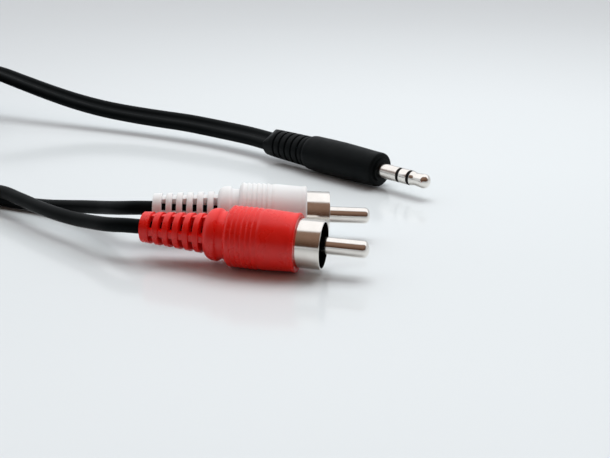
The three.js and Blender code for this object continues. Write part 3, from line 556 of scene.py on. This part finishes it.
# %% [markdown]
# ## Boot surface with its windows
# Round the boot, a quarter has one web and one window. The web's sides are flat and
# parallel, so at each radius the web takes the angle whose sine is half its width over that
# radius. The window takes the rest of the quarter.

# %% Boot
WEB_HALF = 0.65
WEB_CELLS, ARC_CELLS = 3, 14
QUARTER_CELLS = WEB_CELLS + ARC_CELLS


def boot_angles(radius):
    """Angles of the columns at each ring: evenly over the web, then evenly over the window,
    for each of the four quarters."""
    half = np.arcsin(WEB_HALF / np.maximum(radius, 1.2))[:, None]
    over_web = -half + 2 * half * np.arange(WEB_CELLS) / WEB_CELLS
    over_arc = half + (np.pi / 2 - 2 * half) * np.arange(ARC_CELLS) / ARC_CELLS
    quarter = np.concatenate([over_web, over_arc], axis=1)
    return np.concatenate([quarter + k * np.pi / 2 for k in range(4)], axis=1)


def boot_piece(plug):
    corners, reach = boot_outside()
    outside = rounded(corners, reach, closed=False)
    mouth = [(4.6, 0), (4.6, -3.0), (4.3, -3.0), (4.3, -12.25), (3.5, -13.85), (BORE, -13.85)]
    cuts = np.stack([SLOT_FRONTS, SLOT_BACKS], 1)[::-1].ravel()
    bore = np.stack([np.full(len(cuts), BORE), cuts], 1)
    rings = np.vstack([outside, mouth, bore, [(BORE, BOOT_END)], outside[:1]])
    columns = 4 * QUARTER_CELLS
    keep = np.ones((len(rings) - 1, columns), bool)
    window = np.tile(np.arange(QUARTER_CELLS) >= WEB_CELLS, 4)
    first = (2 + 4 * SLOTS) * ARC_POINTS
    last = first + 2 * ARC_POINTS - 1
    inner_front = len(outside) + len(mouth) + 2 * SLOTS[::-1]
    walls = []
    for out_back, out_front, in_front in zip(first, last, inner_front):
        keep[out_back:out_front, window] = False
        keep[in_front, window] = False
        here = np.flatnonzero(window)
        there = (here + 1) % columns
        for outer, inner in ((out_back, in_front + 1), (out_front, in_front)):
            quads = np.stack([outer * columns + here, outer * columns + there,
                              inner * columns + there, inner * columns + here], 1)
            walls += quads.tolist()
        path = np.concatenate([np.arange(out_back, out_front + 1), [in_front, in_front + 1]])
        edges = np.arange(4) * QUARTER_CELLS
        sides = np.concatenate([edges, edges + WEB_CELLS])
        walls += (path[None, :] * columns + sides[:, None]).tolist()
    points = in_place(on_circle(rings, boot_angles(rings[:, 0])).reshape(-1, 3), plug)
    faces = grid_faces(len(rings), columns, keep).tolist() + walls
    piece = make_piece(f"{plug}_soft_boot", points, faces, f"{plug}_boot", flat_above=35.0)
    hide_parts(f"{plug}_boot")
    return piece


boots = {plug: boot_piece(plug) for plug in ("red", "white")}
print("boot faces:", [len(b.data.polygons) for b in boots.values()])

# %% [markdown]
# ## Jack plug: contacts
# The jack carries three contacts one behind the other, parted by black bands: the tip for
# the left channel, the ring for the right one, and the sleeve for earth. They are turned
# parts, so each is an outline carried round the axis. The tip has the waist that a socket's
# spring drops into.

# %% Contacts of the jack
SLEEVE_END = 5.6
RING_START, RING_END = 6.35, 8.55
TIP_START = 9.3
JACK_TIP = 14.05
JACK_RADIUS = 1.75
GAP = 0.02

jack_sleeve = turned(
    "jack_earth_sleeve", "jack",
    [(1.47, -2.5), (2.2, -2.5), (2.2, -1.9), (3.0, -1.9), (3.0, -1.3), (JACK_RADIUS, -1.3),
     (JACK_RADIUS, SLEEVE_END), (1.47, SLEEVE_END)],
    [0.05, 0.05, 0.05, 0.1, 0.1, 0.02, 0.08, 0.02], "plated_metal",
)
jack_ring = turned(
    "jack_ring_contact", "jack",
    [(0.9, -3.6), (1.08, -3.6), (1.08, RING_START), (JACK_RADIUS, RING_START),
     (JACK_RADIUS, RING_END), (0.9, RING_END)],
    [0.02, 0.02, 0.02, 0.08, 0.08, 0.02], "plated_metal",
)
jack_tip = turned(
    "jack_tip_contact", "jack",
    [(0, -6.2), (0.5, -6.2), (0.5, TIP_START), (1.7, TIP_START), (1.5, 10.25), (1.475, 10.6),
     (1.65, 12.3), (1.7, 12.8), (1.45, 13.4), (0.85, 13.87), (0.42, JACK_TIP), (0, JACK_TIP)],
    [0, 0.05, 0.02, 0.1, 0.15, 0.3, 0.3, 0.25, 0.25, 0.2, 0.15, 0], "plated_metal",
    closed=False,
)
rear_band = turned(
    "jack_rear_band", "jack",
    [(1.12, -2.9), (1.4, -2.9), (1.4, SLEEVE_END + GAP), (1.71, SLEEVE_END + GAP),
     (1.71, RING_START - GAP), (1.12, RING_START - GAP)],
    0.03, "insulator",
)
front_band = turned(
    "jack_front_band", "jack",
    [(0.57, -4.7), (0.8, -4.7), (0.8, RING_END + GAP), (1.7, RING_END + GAP),
     (1.7, TIP_START - GAP), (0.57, TIP_START - GAP)],
    0.03, "insulator",
)
for piece, node in (
    (jack_sleeve, "jack_sleeve"), (jack_ring, "jack_ring"), (jack_tip, "jack_tip"),
    (rear_band, "jack_rear_insulator"), (front_band, "jack_front_insulator"),
):
    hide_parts(node)
print("jack contacts:", len(jack_tip.data.polygons))

# %% [markdown]
# ## Jack plug: handle
# The handle is a slim black moulding, fullest behind its middle, with a raised ring on its
# front face. Behind a narrow waist comes the relief, a slow cone with five fine grooves that
# let it bend. Its end is pared flat above and below towards the cord, which leaves through a
# slot with round ends.

# %% Handle
BARREL = [(4.15, -22.4), (4.3, -21.7), (4.38, -17), (4.38, -12), (4.23, -7), (4.09, -3)]
WAIST_BACK = -23.2
TAPER_FRONT = -34.4
RELIEF_BACK_RADIUS, RELIEF_FRONT_RADIUS = 3.625, 3.85
PARED_HALF = 2.2
GROOVE_FIRST, GROOVE_PITCH = 1.3, 2.15
GROOVES = WAIST_BACK - GROOVE_FIRST - GROOVE_PITCH * np.arange(5)[::-1]
GROOVE_HALF, GROOVE_DEPTH = 0.275, 0.35
SLOT_HALF_WIDTH, SLOT_HALF_HEIGHT = 3.1, 1.7
FLAT_SOFTNESS = 0.3
HANDLE_COLUMNS = 96


def slot_radius(angle):
    """Distance from the axis to a slot with round ends: to its flat sides where those are
    nearer, otherwise to the round end's centre line plus its radius."""
    straight = SLOT_HALF_WIDTH - SLOT_HALF_HEIGHT
    x, z = np.abs(np.cos(angle)), np.abs(np.sin(angle))
    flat = SLOT_HALF_HEIGHT / np.maximum(z, 1e-6)
    round_end = straight * x + np.sqrt(SLOT_HALF_HEIGHT**2 - (straight * z) ** 2)
    return np.where(flat * x < straight, flat, round_end)


def handle_outside():
    """Corners from the cord end to the front, each with its rounding."""
    edges = np.stack([GROOVES - GROOVE_HALF, GROOVES + GROOVE_HALF], 1)
    radius = np.interp(edges, [TAPER_FRONT, WAIST_BACK], [RELIEF_BACK_RADIUS, RELIEF_FRONT_RADIUS])
    floor_radius = radius - GROOVE_DEPTH
    grooves = np.stack([
        np.stack([radius[:, 0], edges[:, 0]], 1), np.stack([floor_radius[:, 0], edges[:, 0]], 1),
        np.stack([floor_radius[:, 1], edges[:, 1]], 1), np.stack([radius[:, 1], edges[:, 1]], 1),
    ], axis=1).reshape(-1, 2)
    corners = np.vstack([
        [(3.5, JACK_END), (RELIEF_BACK_RADIUS, TAPER_FRONT)], grooves,
        [(RELIEF_FRONT_RADIUS, WAIST_BACK), (3.75, WAIST_BACK), (3.75, BARREL[0][1])], BARREL,
        [(4.05, -0.4), (3.65, 0), (2.75, 0), (2.75, 0.5), (1.85, 0.5)],
    ])
    reach = np.concatenate([
        [0.4, 0.6], np.tile([0.18, 0.1, 0.1, 0.18], len(GROOVES)), [0.15, 0.04, 0.1],
        [0.2, 0.5], np.full(4, 1.5), [0.2, 0.2, 0.05, 0.12, 0.1],
    ])
    return corners, reach


def pared(points, along):
    """Above and below, the end is cut by planes that close in towards the cord. z becomes the
    smaller of itself and the plane's height h, softened near the edge where they meet:
    min(z, h) - max(s - |z - h|, 0)^2 / (4 s)."""
    fall = (RELIEF_BACK_RADIUS - PARED_HALF) / (TAPER_FRONT - JACK_END)
    high = RELIEF_BACK_RADIUS - (TAPER_FRONT - along) * fall
    x, y, z = np.moveaxis(points, -1, 0)
    near = np.maximum(FLAT_SOFTNESS - np.abs(np.abs(z) - high[:, None]), 0)
    lower = np.minimum(np.abs(z), high[:, None]) - near**2 / (4 * FLAT_SOFTNESS)
    return np.stack([x, y, np.sign(z) * lower], axis=-1)


def handle_piece():
    corners, reach = handle_outside()
    outside = rounded(corners, reach, closed=False)
    bore = [(1.85, -1.2), (3.3, -1.2), (3.3, -18.6), (2.5, -19.4), (0, -19.4), (0, JACK_END)]
    rings = np.vstack([outside, bore, outside[:1]])
    columns = HANDLE_COLUMNS
    angle = np.arange(columns)[None, :] * 2 * np.pi / columns
    angle = np.broadcast_to(angle, (len(rings), columns))
    points = on_circle(rings, angle)
    relief = rings[:, 1] < WAIST_BACK
    points[relief] = pared(points[relief], rings[relief, 1])
    slot = slot_radius(angle[:2])
    for k, ring in enumerate((len(rings) - 3, len(rings) - 2)):
        points[ring, :, 0] = slot[k] * np.cos(angle[k])
        points[ring, :, 2] = slot[k] * np.sin(angle[k])
    world = in_place(points.reshape(-1, 3), "jack")
    return make_piece("jack_grip", world, grid_faces(len(rings), columns).tolist(),
                      "jack_handle", flat_above=35.0)


jack_grip = handle_piece()
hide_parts("jack_handle")
print("handle faces:", len(jack_grip.data.polygons))

# %% [markdown]
# ## The tie
# A narrow strip holds the coil. It goes under the bundle of turns, up its outside and back
# over it, close to it and with rounded corners, and its two ends turn in a little way inside
# the coil. The strip is a rectangle carried along a rounded line that stands across the turns.

# %% Tie
TIE_AZIMUTH = -60.0
TIE_HALF_WIDTH = 2.0
TIE_THICK = 0.45
TIE_LOW, TIE_HIGH = (27.6, 0.35), (33.4, 12.3)
TIE_CORNER, TIE_EDGE = 1.3, 0.12
TIE_STEP = 0.5


def tie_piece():
    corners = [TIE_LOW, (TIE_HIGH[0], TIE_LOW[1]), TIE_HIGH, (TIE_LOW[0], TIE_HIGH[1])]
    loop = rounded(corners, TIE_CORNER)
    loop = smooth_line(np.column_stack([loop, np.zeros(len(loop))]), TIE_STEP)[:, :2]
    ahead = np.gradient(loop, axis=0)
    ahead /= np.linalg.norm(ahead, axis=1)[:, None]
    normal = np.stack([ahead[:, 1], -ahead[:, 0]], 1)
    section = rounded(
        [(-TIE_HALF_WIDTH, -TIE_THICK / 2), (TIE_HALF_WIDTH, -TIE_THICK / 2),
         (TIE_HALF_WIDTH, TIE_THICK / 2), (-TIE_HALF_WIDTH, TIE_THICK / 2)], TIE_EDGE)
    radial = loop[:, None, 0] + normal[:, None, 0] * section[None, :, 1]
    height = loop[:, None, 1] + normal[:, None, 1] * section[None, :, 1]
    side = np.broadcast_to(section[None, :, 0], radial.shape)
    azimuth = np.radians(TIE_AZIMUTH)
    x = COIL_CENTRE[0] + radial * np.cos(azimuth) - side * np.sin(azimuth)
    y = COIL_CENTRE[1] + radial * np.sin(azimuth) + side * np.cos(azimuth)
    points = np.stack([x, y, height], -1).reshape(-1, 3)
    rings, columns = radial.shape
    faces = [*grid_faces(rings, columns).tolist(), *end_caps(rings, columns)]
    return make_piece("coil_strap", points, faces, "tie")


coil_strap = tie_piece()
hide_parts("coil_tie")
print("tie faces:", len(coil_strap.data.polygons))

# %% [markdown]
# ## Finishes
# Each finish is a small set of nodes: a colour that varies a little, a roughness that varies
# with it, and a fine bump. They read Object coordinates, which are the row frame in metres,
# so the grain keeps its real size on every piece.

# %% Node helpers


def new_finish(name):
    material = bpy.data.materials.new(name)
    material.use_nodes = True
    nodes, links = material.node_tree.nodes, material.node_tree.links
    shader = nodes["Principled BSDF"]
    place = nodes.new("ShaderNodeTexCoord").outputs["Object"]
    return material, nodes, links, shader, place


def grain(nodes, links, place, size_mm, detail=4.0, stretch=(1, 1, 1)):
    """Noise whose features are about size_mm across. stretch squeezes it along an axis."""
    mapping = nodes.new("ShaderNodeMapping")
    mapping.inputs["Scale"].default_value = [s / (size_mm * MM) for s in stretch]
    noise = nodes.new("ShaderNodeTexNoise")
    noise.inputs["Scale"].default_value = 1.0
    noise.inputs["Detail"].default_value = detail
    links.new(place, mapping.inputs["Vector"])
    links.new(mapping.outputs["Vector"], noise.inputs["Vector"])
    return noise.outputs["Fac"]


def spread(nodes, links, value, low, high, out_low=0, out_high=1, kind="LINEAR"):
    """A value from low..high moved to out_low..out_high, and held at the ends."""
    ranged = nodes.new("ShaderNodeMapRange")
    ranged.interpolation_type = kind
    for key, number in zip(("From Min", "From Max", "To Min", "To Max"),
                           (low, high, out_low, out_high)):
        ranged.inputs[key].default_value = number
    links.new(value, ranged.inputs["Value"])
    return ranged.outputs["Result"]


def two_colours(nodes, links, share, first, second):
    """A mix of two colours. Each is three numbers or a socket to read."""
    mix = nodes.new("ShaderNodeMix")
    mix.data_type = "RGBA"
    for key, colour in (("A", first), ("B", second)):
        if isinstance(colour, tuple):
            mix.inputs[key].default_value = (*colour, 1)
        else:
            links.new(colour, mix.inputs[key])
    links.new(share, mix.inputs["Factor"])
    return mix.outputs["Result"]


def maths(nodes, links, operation, first, second):
    """One Math node. An input is a plain number or a socket to read."""
    made = nodes.new("ShaderNodeMath")
    made.operation = operation
    for socket, value in zip(made.inputs, (first, second)):
        if isinstance(value, (int, float)):
            socket.default_value = value
        else:
            links.new(value, socket)
    return made.outputs["Value"]


def bump(nodes, links, height, depth_mm, strength, shader):
    made = nodes.new("ShaderNodeBump")
    made.inputs["Strength"].default_value = strength
    made.inputs["Distance"].default_value = depth_mm * MM
    links.new(height, made.inputs["Height"])
    links.new(made.outputs["Normal"], shader.inputs["Normal"])


print("node helpers ready")

# %% [markdown]
# ## Moulded vinyl
# The boots and the handle are soft vinyl out of a finely etched mould: satin, with a faint
# grain, slow changes of colour where it cooled, and a few softer, duller patches from
# handling. Coloured vinyl lets some light in, so the white, and less so the red, gets a
# little scattering below its surface.

# %% Vinyl finishes
CLOUD_MM, HANDLED_MM, ETCHED_MM = 9.0, 2.4, 0.16
SCATTER_RGB = (1.0, 0.94, 0.91)


def moulded_vinyl(name, colour, deeper, roughness, gloss, scatter=0.0, scatter_mm=0.8):
    material, nodes, links, shader, place = new_finish(name)
    cloudy = grain(nodes, links, place, CLOUD_MM, detail=2.0)
    fine = grain(nodes, links, place, ETCHED_MM, detail=3.0)
    handled = grain(nodes, links, place, HANDLED_MM, detail=5.0)
    share = spread(nodes, links, cloudy, 0.35, 0.65)
    links.new(two_colours(nodes, links, share, colour, deeper), shader.inputs["Base Color"])
    links.new(spread(nodes, links, handled, 0.35, 0.7, roughness - 0.05, roughness + 0.08),
              shader.inputs["Roughness"])
    bump(nodes, links, fine, 0.01, 0.35, shader)
    shader.inputs["Specular IOR Level"].default_value = gloss
    if scatter:
        shader.inputs["Subsurface Weight"].default_value = scatter
        shader.inputs["Subsurface Radius"].default_value = SCATTER_RGB
        shader.inputs["Subsurface Scale"].default_value = scatter_mm * MM
    return material


red_vinyl = moulded_vinyl("red_vinyl", (0.84, 0.009, 0.004), (0.77, 0.007, 0.003), 0.30, 0.45,
                          scatter=0.15, scatter_mm=0.4)
white_vinyl = moulded_vinyl("white_vinyl", (0.80, 0.83, 0.835), (0.76, 0.78, 0.785), 0.38, 0.4,
                            scatter=0.55, scatter_mm=1.6)
black_vinyl = moulded_vinyl("black_vinyl", (0.003, 0.0045, 0.005), (0.005, 0.0065, 0.007), 0.42,
                            0.06)
print("vinyl:", [m.name for m in (red_vinyl, white_vinyl, black_vinyl)])

# %% [markdown]
# ## Cord jacket
# The jacket is extruded, so its marks run along the cord and not across it. The cord meshes
# get a UV map for this: u goes round the outline and v along the cord in millimetres. Very
# long, narrow noise on that map gives the fine draw lines, and slow noise gives the dust.

# %% Cord finish
DRAW_LINES = (90.0, 0.05, 1.0)
DUST_MM = 6.0
JACKET_GLOSS = 0.04


def lay_uv_along(piece, columns, line):
    """u is the column's share of the way round, and v the ring's distance in mm. A face
    that closes the round takes u past 1 instead of back to 0."""
    mesh = piece.data
    corner = np.empty(len(mesh.loops), np.int64)
    mesh.loops.foreach_get("vertex_index", corner)
    ring, column = corner // columns, corner % columns
    u = column / columns
    starts = np.empty(len(mesh.polygons), np.int64)
    totals = np.empty(len(mesh.polygons), np.int64)
    mesh.polygons.foreach_get("loop_start", starts)
    mesh.polygons.foreach_get("loop_total", totals)
    face = np.repeat(np.arange(len(starts)), totals)
    highest = np.full(len(starts), 0.0)
    np.maximum.at(highest, face, u)
    wraps = (highest[face] > 0.9) & (u < 0.1) & (totals[face] == 4)
    along = distances(line)
    uv = np.stack([u + wraps, along[np.minimum(ring, len(along) - 1)]], axis=1)
    layer = mesh.uv_layers.new(name="along")
    layer.data.foreach_set("uv", uv.astype(np.float32).ravel())


def jacket(name, colour, dusty, roughness):
    """The draw lines read the UV map, so only their stretch sets their size there."""
    material, nodes, links, shader, place = new_finish(name)
    uv = nodes.new("ShaderNodeUVMap")
    uv.uv_map = "along"
    lines = grain(nodes, links, uv.outputs["UV"], 1 / MM, detail=3.0, stretch=DRAW_LINES)
    dust = grain(nodes, links, place, DUST_MM, detail=6.0)
    share = spread(nodes, links, dust, 0.45, 0.75)
    links.new(two_colours(nodes, links, share, colour, dusty), shader.inputs["Base Color"])
    links.new(spread(nodes, links, dust, 0.35, 0.7, roughness - 0.04, roughness + 0.1),
              shader.inputs["Roughness"])
    bump(nodes, links, lines, 0.02, 0.3, shader)
    shader.inputs["Specular IOR Level"].default_value = JACKET_GLOSS
    return material


for piece, outline, line in (
    (twin_cord, twin_outline(LEAD_RADIUS), main_line),
    (white_cord, round_outline(LEAD_RADIUS), white_line),
    (red_cord, round_outline(LEAD_RADIUS), red_line),
):
    lay_uv_along(piece, len(outline), line)
cord_jacket = jacket("cord_jacket", (0.0025, 0.004, 0.0045), (0.0045, 0.006, 0.0065), 0.38)
print("cord finish:", cord_jacket.name)

# %% [markdown]
# ## Plated contacts
# Bright nickel on brass. Real plating is never a perfect mirror: it has faint turning marks
# round the axis and slow changes of gloss. Noise squeezed along each plug's axis gives the
# marks, so each plug has its own turn of the pattern. The inner wall of an earth cup gets
# painted shade: its colour is set nearly black there, standing in for the dark inside the
# cup, and a mask picks that wall by its distance from the plug's axis.

# %% Nickel finish
# The first colour is painted shade for the inner wall of an earth cup. The two radii after it are
# where that painted shade fades out towards the outer face.
CUP_PAINTED_SHADE = (0.022, 0.020, 0.019)
PAINTED_SHADE_FADES_FROM = 4.22
PAINTED_SHADE_GONE_AT = 4.32
CUP_CORE = 1.9


def from_axis(nodes, links, place, plug):
    """Distance of a point from the plug's axis, in metres: the length of v - (v . d) d, where
    v runs from the front face's middle to the point and d is the axis's direction."""
    middle = in_place(np.zeros((1, 3)), plug)[0] * MM
    ahead = plug_axes(SEATS[plug])[1]

    def vector_maths(operation, first, second):
        made = nodes.new("ShaderNodeVectorMath")
        made.operation = operation
        links.new(first, made.inputs[0])
        if isinstance(second, np.ndarray):
            made.inputs[1].default_value = second
        elif second is not None:
            links.new(second, made.inputs[1])
        return made

    apart = vector_maths("SUBTRACT", place, middle).outputs["Vector"]
    along = vector_maths("DOT_PRODUCT", apart, ahead).outputs["Value"]
    on_axis = nodes.new("ShaderNodeVectorMath")
    on_axis.operation = "SCALE"
    on_axis.inputs[0].default_value = ahead
    links.new(along, on_axis.inputs["Scale"])
    off = vector_maths("SUBTRACT", apart, on_axis.outputs["Vector"]).outputs["Vector"]
    return vector_maths("LENGTH", off, None).outputs["Value"]


def nickel(plug):
    material, nodes, links, shader, place = new_finish(f"nickel_{plug}")
    seat = SEATS[plug]
    turn = nodes.new("ShaderNodeMapping")
    turn.inputs["Rotation"].default_value = (0, 0, np.radians(seat["yaw"]))
    links.new(place, turn.inputs["Vector"])
    marks = grain(nodes, links, turn.outputs["Vector"], 0.12, detail=2.0, stretch=(1, 0.02, 0.02))
    slow = grain(nodes, links, place, 3.0, detail=3.0)
    share = spread(nodes, links, slow, 0.3, 0.7)
    plated = two_colours(nodes, links, share, (0.82, 0.79, 0.75), (0.76, 0.73, 0.68))
    # Painted shade: between the pin and the outer face, the cup's inner wall is coloured nearly
    # black.
    distance = from_axis(nodes, links, place, plug)
    core = maths(nodes, links, "LESS_THAN", distance, CUP_CORE * MM)
    wall = spread(nodes, links, distance, PAINTED_SHADE_FADES_FROM * MM, PAINTED_SHADE_GONE_AT * MM)
    free_of_painted_shade = maths(nodes, links, "MAXIMUM", core, wall)
    colour = two_colours(nodes, links, free_of_painted_shade, CUP_PAINTED_SHADE, plated)
    links.new(colour, shader.inputs["Base Color"])
    links.new(spread(nodes, links, slow, 0.3, 0.75, 0.10, 0.20), shader.inputs["Roughness"])
    bump(nodes, links, marks, 0.004, 0.18, shader)
    shader.inputs["Metallic"].default_value = 1.0
    return material


nickels = {plug: nickel(plug) for plug in SEATS}
print("nickel:", [m.name for m in nickels.values()])

# %% [markdown]
# ## Plain finishes for what is inside
# The insulators show as black bands and discs, and the tie is a dull black strip. The inner
# moulds, wires and shields are out of sight inside the boots, and they still get their own
# finish in case a boot is hidden.

# %% Inner finishes


def plain_finish(name, colour, deeper, roughness, metallic=0.0, size_mm=0.5, gloss=0.4):
    material, nodes, links, shader, place = new_finish(name)
    speckle = grain(nodes, links, place, size_mm, detail=4.0)
    share = spread(nodes, links, speckle, 0.35, 0.65)
    links.new(two_colours(nodes, links, share, colour, deeper), shader.inputs["Base Color"])
    links.new(spread(nodes, links, speckle, 0.3, 0.7, roughness - 0.06, roughness + 0.06),
              shader.inputs["Roughness"])
    bump(nodes, links, speckle, 0.02, 0.2, shader)
    shader.inputs["Metallic"].default_value = metallic
    shader.inputs["Specular IOR Level"].default_value = gloss
    return material


band_black = plain_finish("insulator_black", (0.004, 0.004, 0.004), (0.006, 0.006, 0.006), 0.5,
                          gloss=0.1)
mould_cream = plain_finish("mould_cream", (0.62, 0.58, 0.47), (0.56, 0.52, 0.42), 0.55)
wire_red = plain_finish("wire_red", (0.45, 0.04, 0.03), (0.38, 0.03, 0.025), 0.4)
copper = plain_finish("copper_strands", (0.72, 0.36, 0.22), (0.6, 0.28, 0.16), 0.35, 1.0, 0.12)
tie_black = plain_finish("tie_black", (0.014, 0.014, 0.014), (0.022, 0.022, 0.022), 0.62, 0, 0.25)

FINISH_OF_SLOT = {"insulator": band_black, "inner_mould": mould_cream, "wire": wire_red,
                  "copper": copper, "jack_handle": black_vinyl, "cord": cord_jacket,
                  "tie": tie_black, "red_boot": red_vinyl, "white_boot": white_vinyl}


def finish_for(name, slot):
    return nickels[name.split("_")[0]] if slot == "plated_metal" else FINISH_OF_SLOT[slot]


slot_of_node = {s["node"]: s["material_slot"] for s in frame["record"]["subparts"]}
for name, node in frame["nodes"].items():
    node.data.materials.clear()
    node.data.materials.append(finish_for(name, slot_of_node[name]))
for piece in [o for o in bpy.data.objects if "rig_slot" in o]:
    piece.data.materials.append(finish_for(piece.name, piece["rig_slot"]))

# %% [markdown]
# ## Floor
# The photograph is a plain studio shot on a pale, slightly glossy board. The floor reaches far
# past every view, so no edge of it shows. A faint gloss lets the pins and the boots mirror
# in it a little, as they do in the photograph.

# %% Floor
FLOOR_SIZE = 60.0
FLOOR_COLOUR = (0.705, 0.762, 0.782)
FLOOR_ROUGHNESS, FLOOR_GLOSS = 0.14, 0.4

floor_mesh = bpy.data.meshes.new("floor")
half = FLOOR_SIZE / 2
floor_corners = [(-half, -half, 0), (half, -half, 0), (half, half, 0), (-half, half, 0)]
floor_mesh.from_pydata(floor_corners, [], [(0, 1, 2, 3)])
floor = bpy.data.objects.new("floor", floor_mesh)
bpy.context.scene.collection.objects.link(floor)
floor_finish, _, _, shader, _ = new_finish("floor_board")
shader.inputs["Base Color"].default_value = (*FLOOR_COLOUR, 1)
shader.inputs["Roughness"].default_value = FLOOR_ROUGHNESS
shader.inputs["Specular IOR Level"].default_value = FLOOR_GLOSS
floor_mesh.materials.append(floor_finish)
print("floor, m:", FLOOR_SIZE)

# %% [markdown]
# ## Room
# Metal shows the room, so the room decides how the plugs look. In the photograph their tops
# mirror a wide, bright ceiling light above and behind them, and their fronts mirror a dim,
# brown room on the photographer's side. The world repeats that: pale all round, a soft
# bright patch overhead that reaches back, and a dim patch in front that fades towards the
# sides. Each patch is a smooth step of a direction's height or of its lean to the front.

# %% Room
PALE = (0.65, 0.665, 0.69)
BRIGHT = (1.24, 1.24, 1.27)
DIM_HIGH = (0.27, 0.17, 0.125)
DIM_LOW = (0.06, 0.026, 0.013)
OVERHEAD_HEIGHTS = (0.35, 0.55)
FRONT_LEANS = (3, 15)
FRONT_HEIGHTS = (0.05, 0.10)
FRONT_SIDES = (0.2, 0.9)
DIM_HEIGHTS = (0.1, 0.9)

world = bpy.data.worlds.new("room")
bpy.context.scene.world = world
world.use_nodes = True
tree = world.node_tree.nodes, world.node_tree.links
nodes, links = tree
direction = nodes.new("ShaderNodeTexCoord").outputs["Generated"]
apart = nodes.new("ShaderNodeSeparateXYZ")
links.new(direction, apart.inputs["Vector"])


def gradual(value, low, high):
    """0 below low, 1 above high, and a smooth step between them."""
    return spread(*tree, value, low, high, kind="SMOOTHSTEP")


height = apart.outputs["Z"]
forward = maths(*tree, "MULTIPLY", apart.outputs["Y"], -1.0)
lean = maths(*tree, "MULTIPLY", maths(*tree, "ARCTAN2", forward, height), 180 / np.pi)
towards_camera = gradual(lean, *FRONT_LEANS)
overhead = maths(*tree, "SUBTRACT", gradual(height, *OVERHEAD_HEIGHTS), towards_camera)
overhead = maths(*tree, "MAXIMUM", overhead, 0.0)
in_front = maths(*tree, "MULTIPLY", towards_camera, gradual(height, *FRONT_HEIGHTS))
faces_front = gradual(maths(*tree, "ADD", forward, height), *FRONT_SIDES)
in_front = maths(*tree, "MULTIPLY", in_front, faces_front)
dim = two_colours(*tree, gradual(height, *DIM_HEIGHTS), DIM_LOW, DIM_HIGH)
lit = two_colours(*tree, overhead, PALE, BRIGHT)
links.new(two_colours(*tree, in_front, lit, dim), nodes["Background"].inputs["Color"])
print("room nodes:", len(nodes))

# %% [markdown]
# ## Lamp
# One soft box above and behind adds light near the plugs. It brightens the floor in the
# middle of the view and gives the pieces their soft shadows. Reflections don't show it,
# because the glossy floor would mirror it as a white patch in a view from above. The room's
# bright patch gives the highlights instead.

# %% Lamp
LAMP_AT = (0.05, 0.10, 0.31)
LAMP_SIZE = (0.25, 0.2)
LAMP_WATTS = 0.66
LAMP_AIM = (0.03, 0.04, 0)

lamp = bpy.data.lights.new("ceiling_box", "AREA")
lamp.shape = "RECTANGLE"
lamp.size, lamp.size_y = LAMP_SIZE
lamp.energy = LAMP_WATTS
box = bpy.data.objects.new("ceiling_box", lamp)
box.location = LAMP_AT
box.rotation_euler = (Vector(LAMP_AIM) - Vector(LAMP_AT)).to_track_quat("-Z", "Y").to_euler()
box.visible_glossy = False
bpy.context.scene.collection.objects.link(box)

view = bpy.context.scene.view_settings
view.view_transform = "Standard"
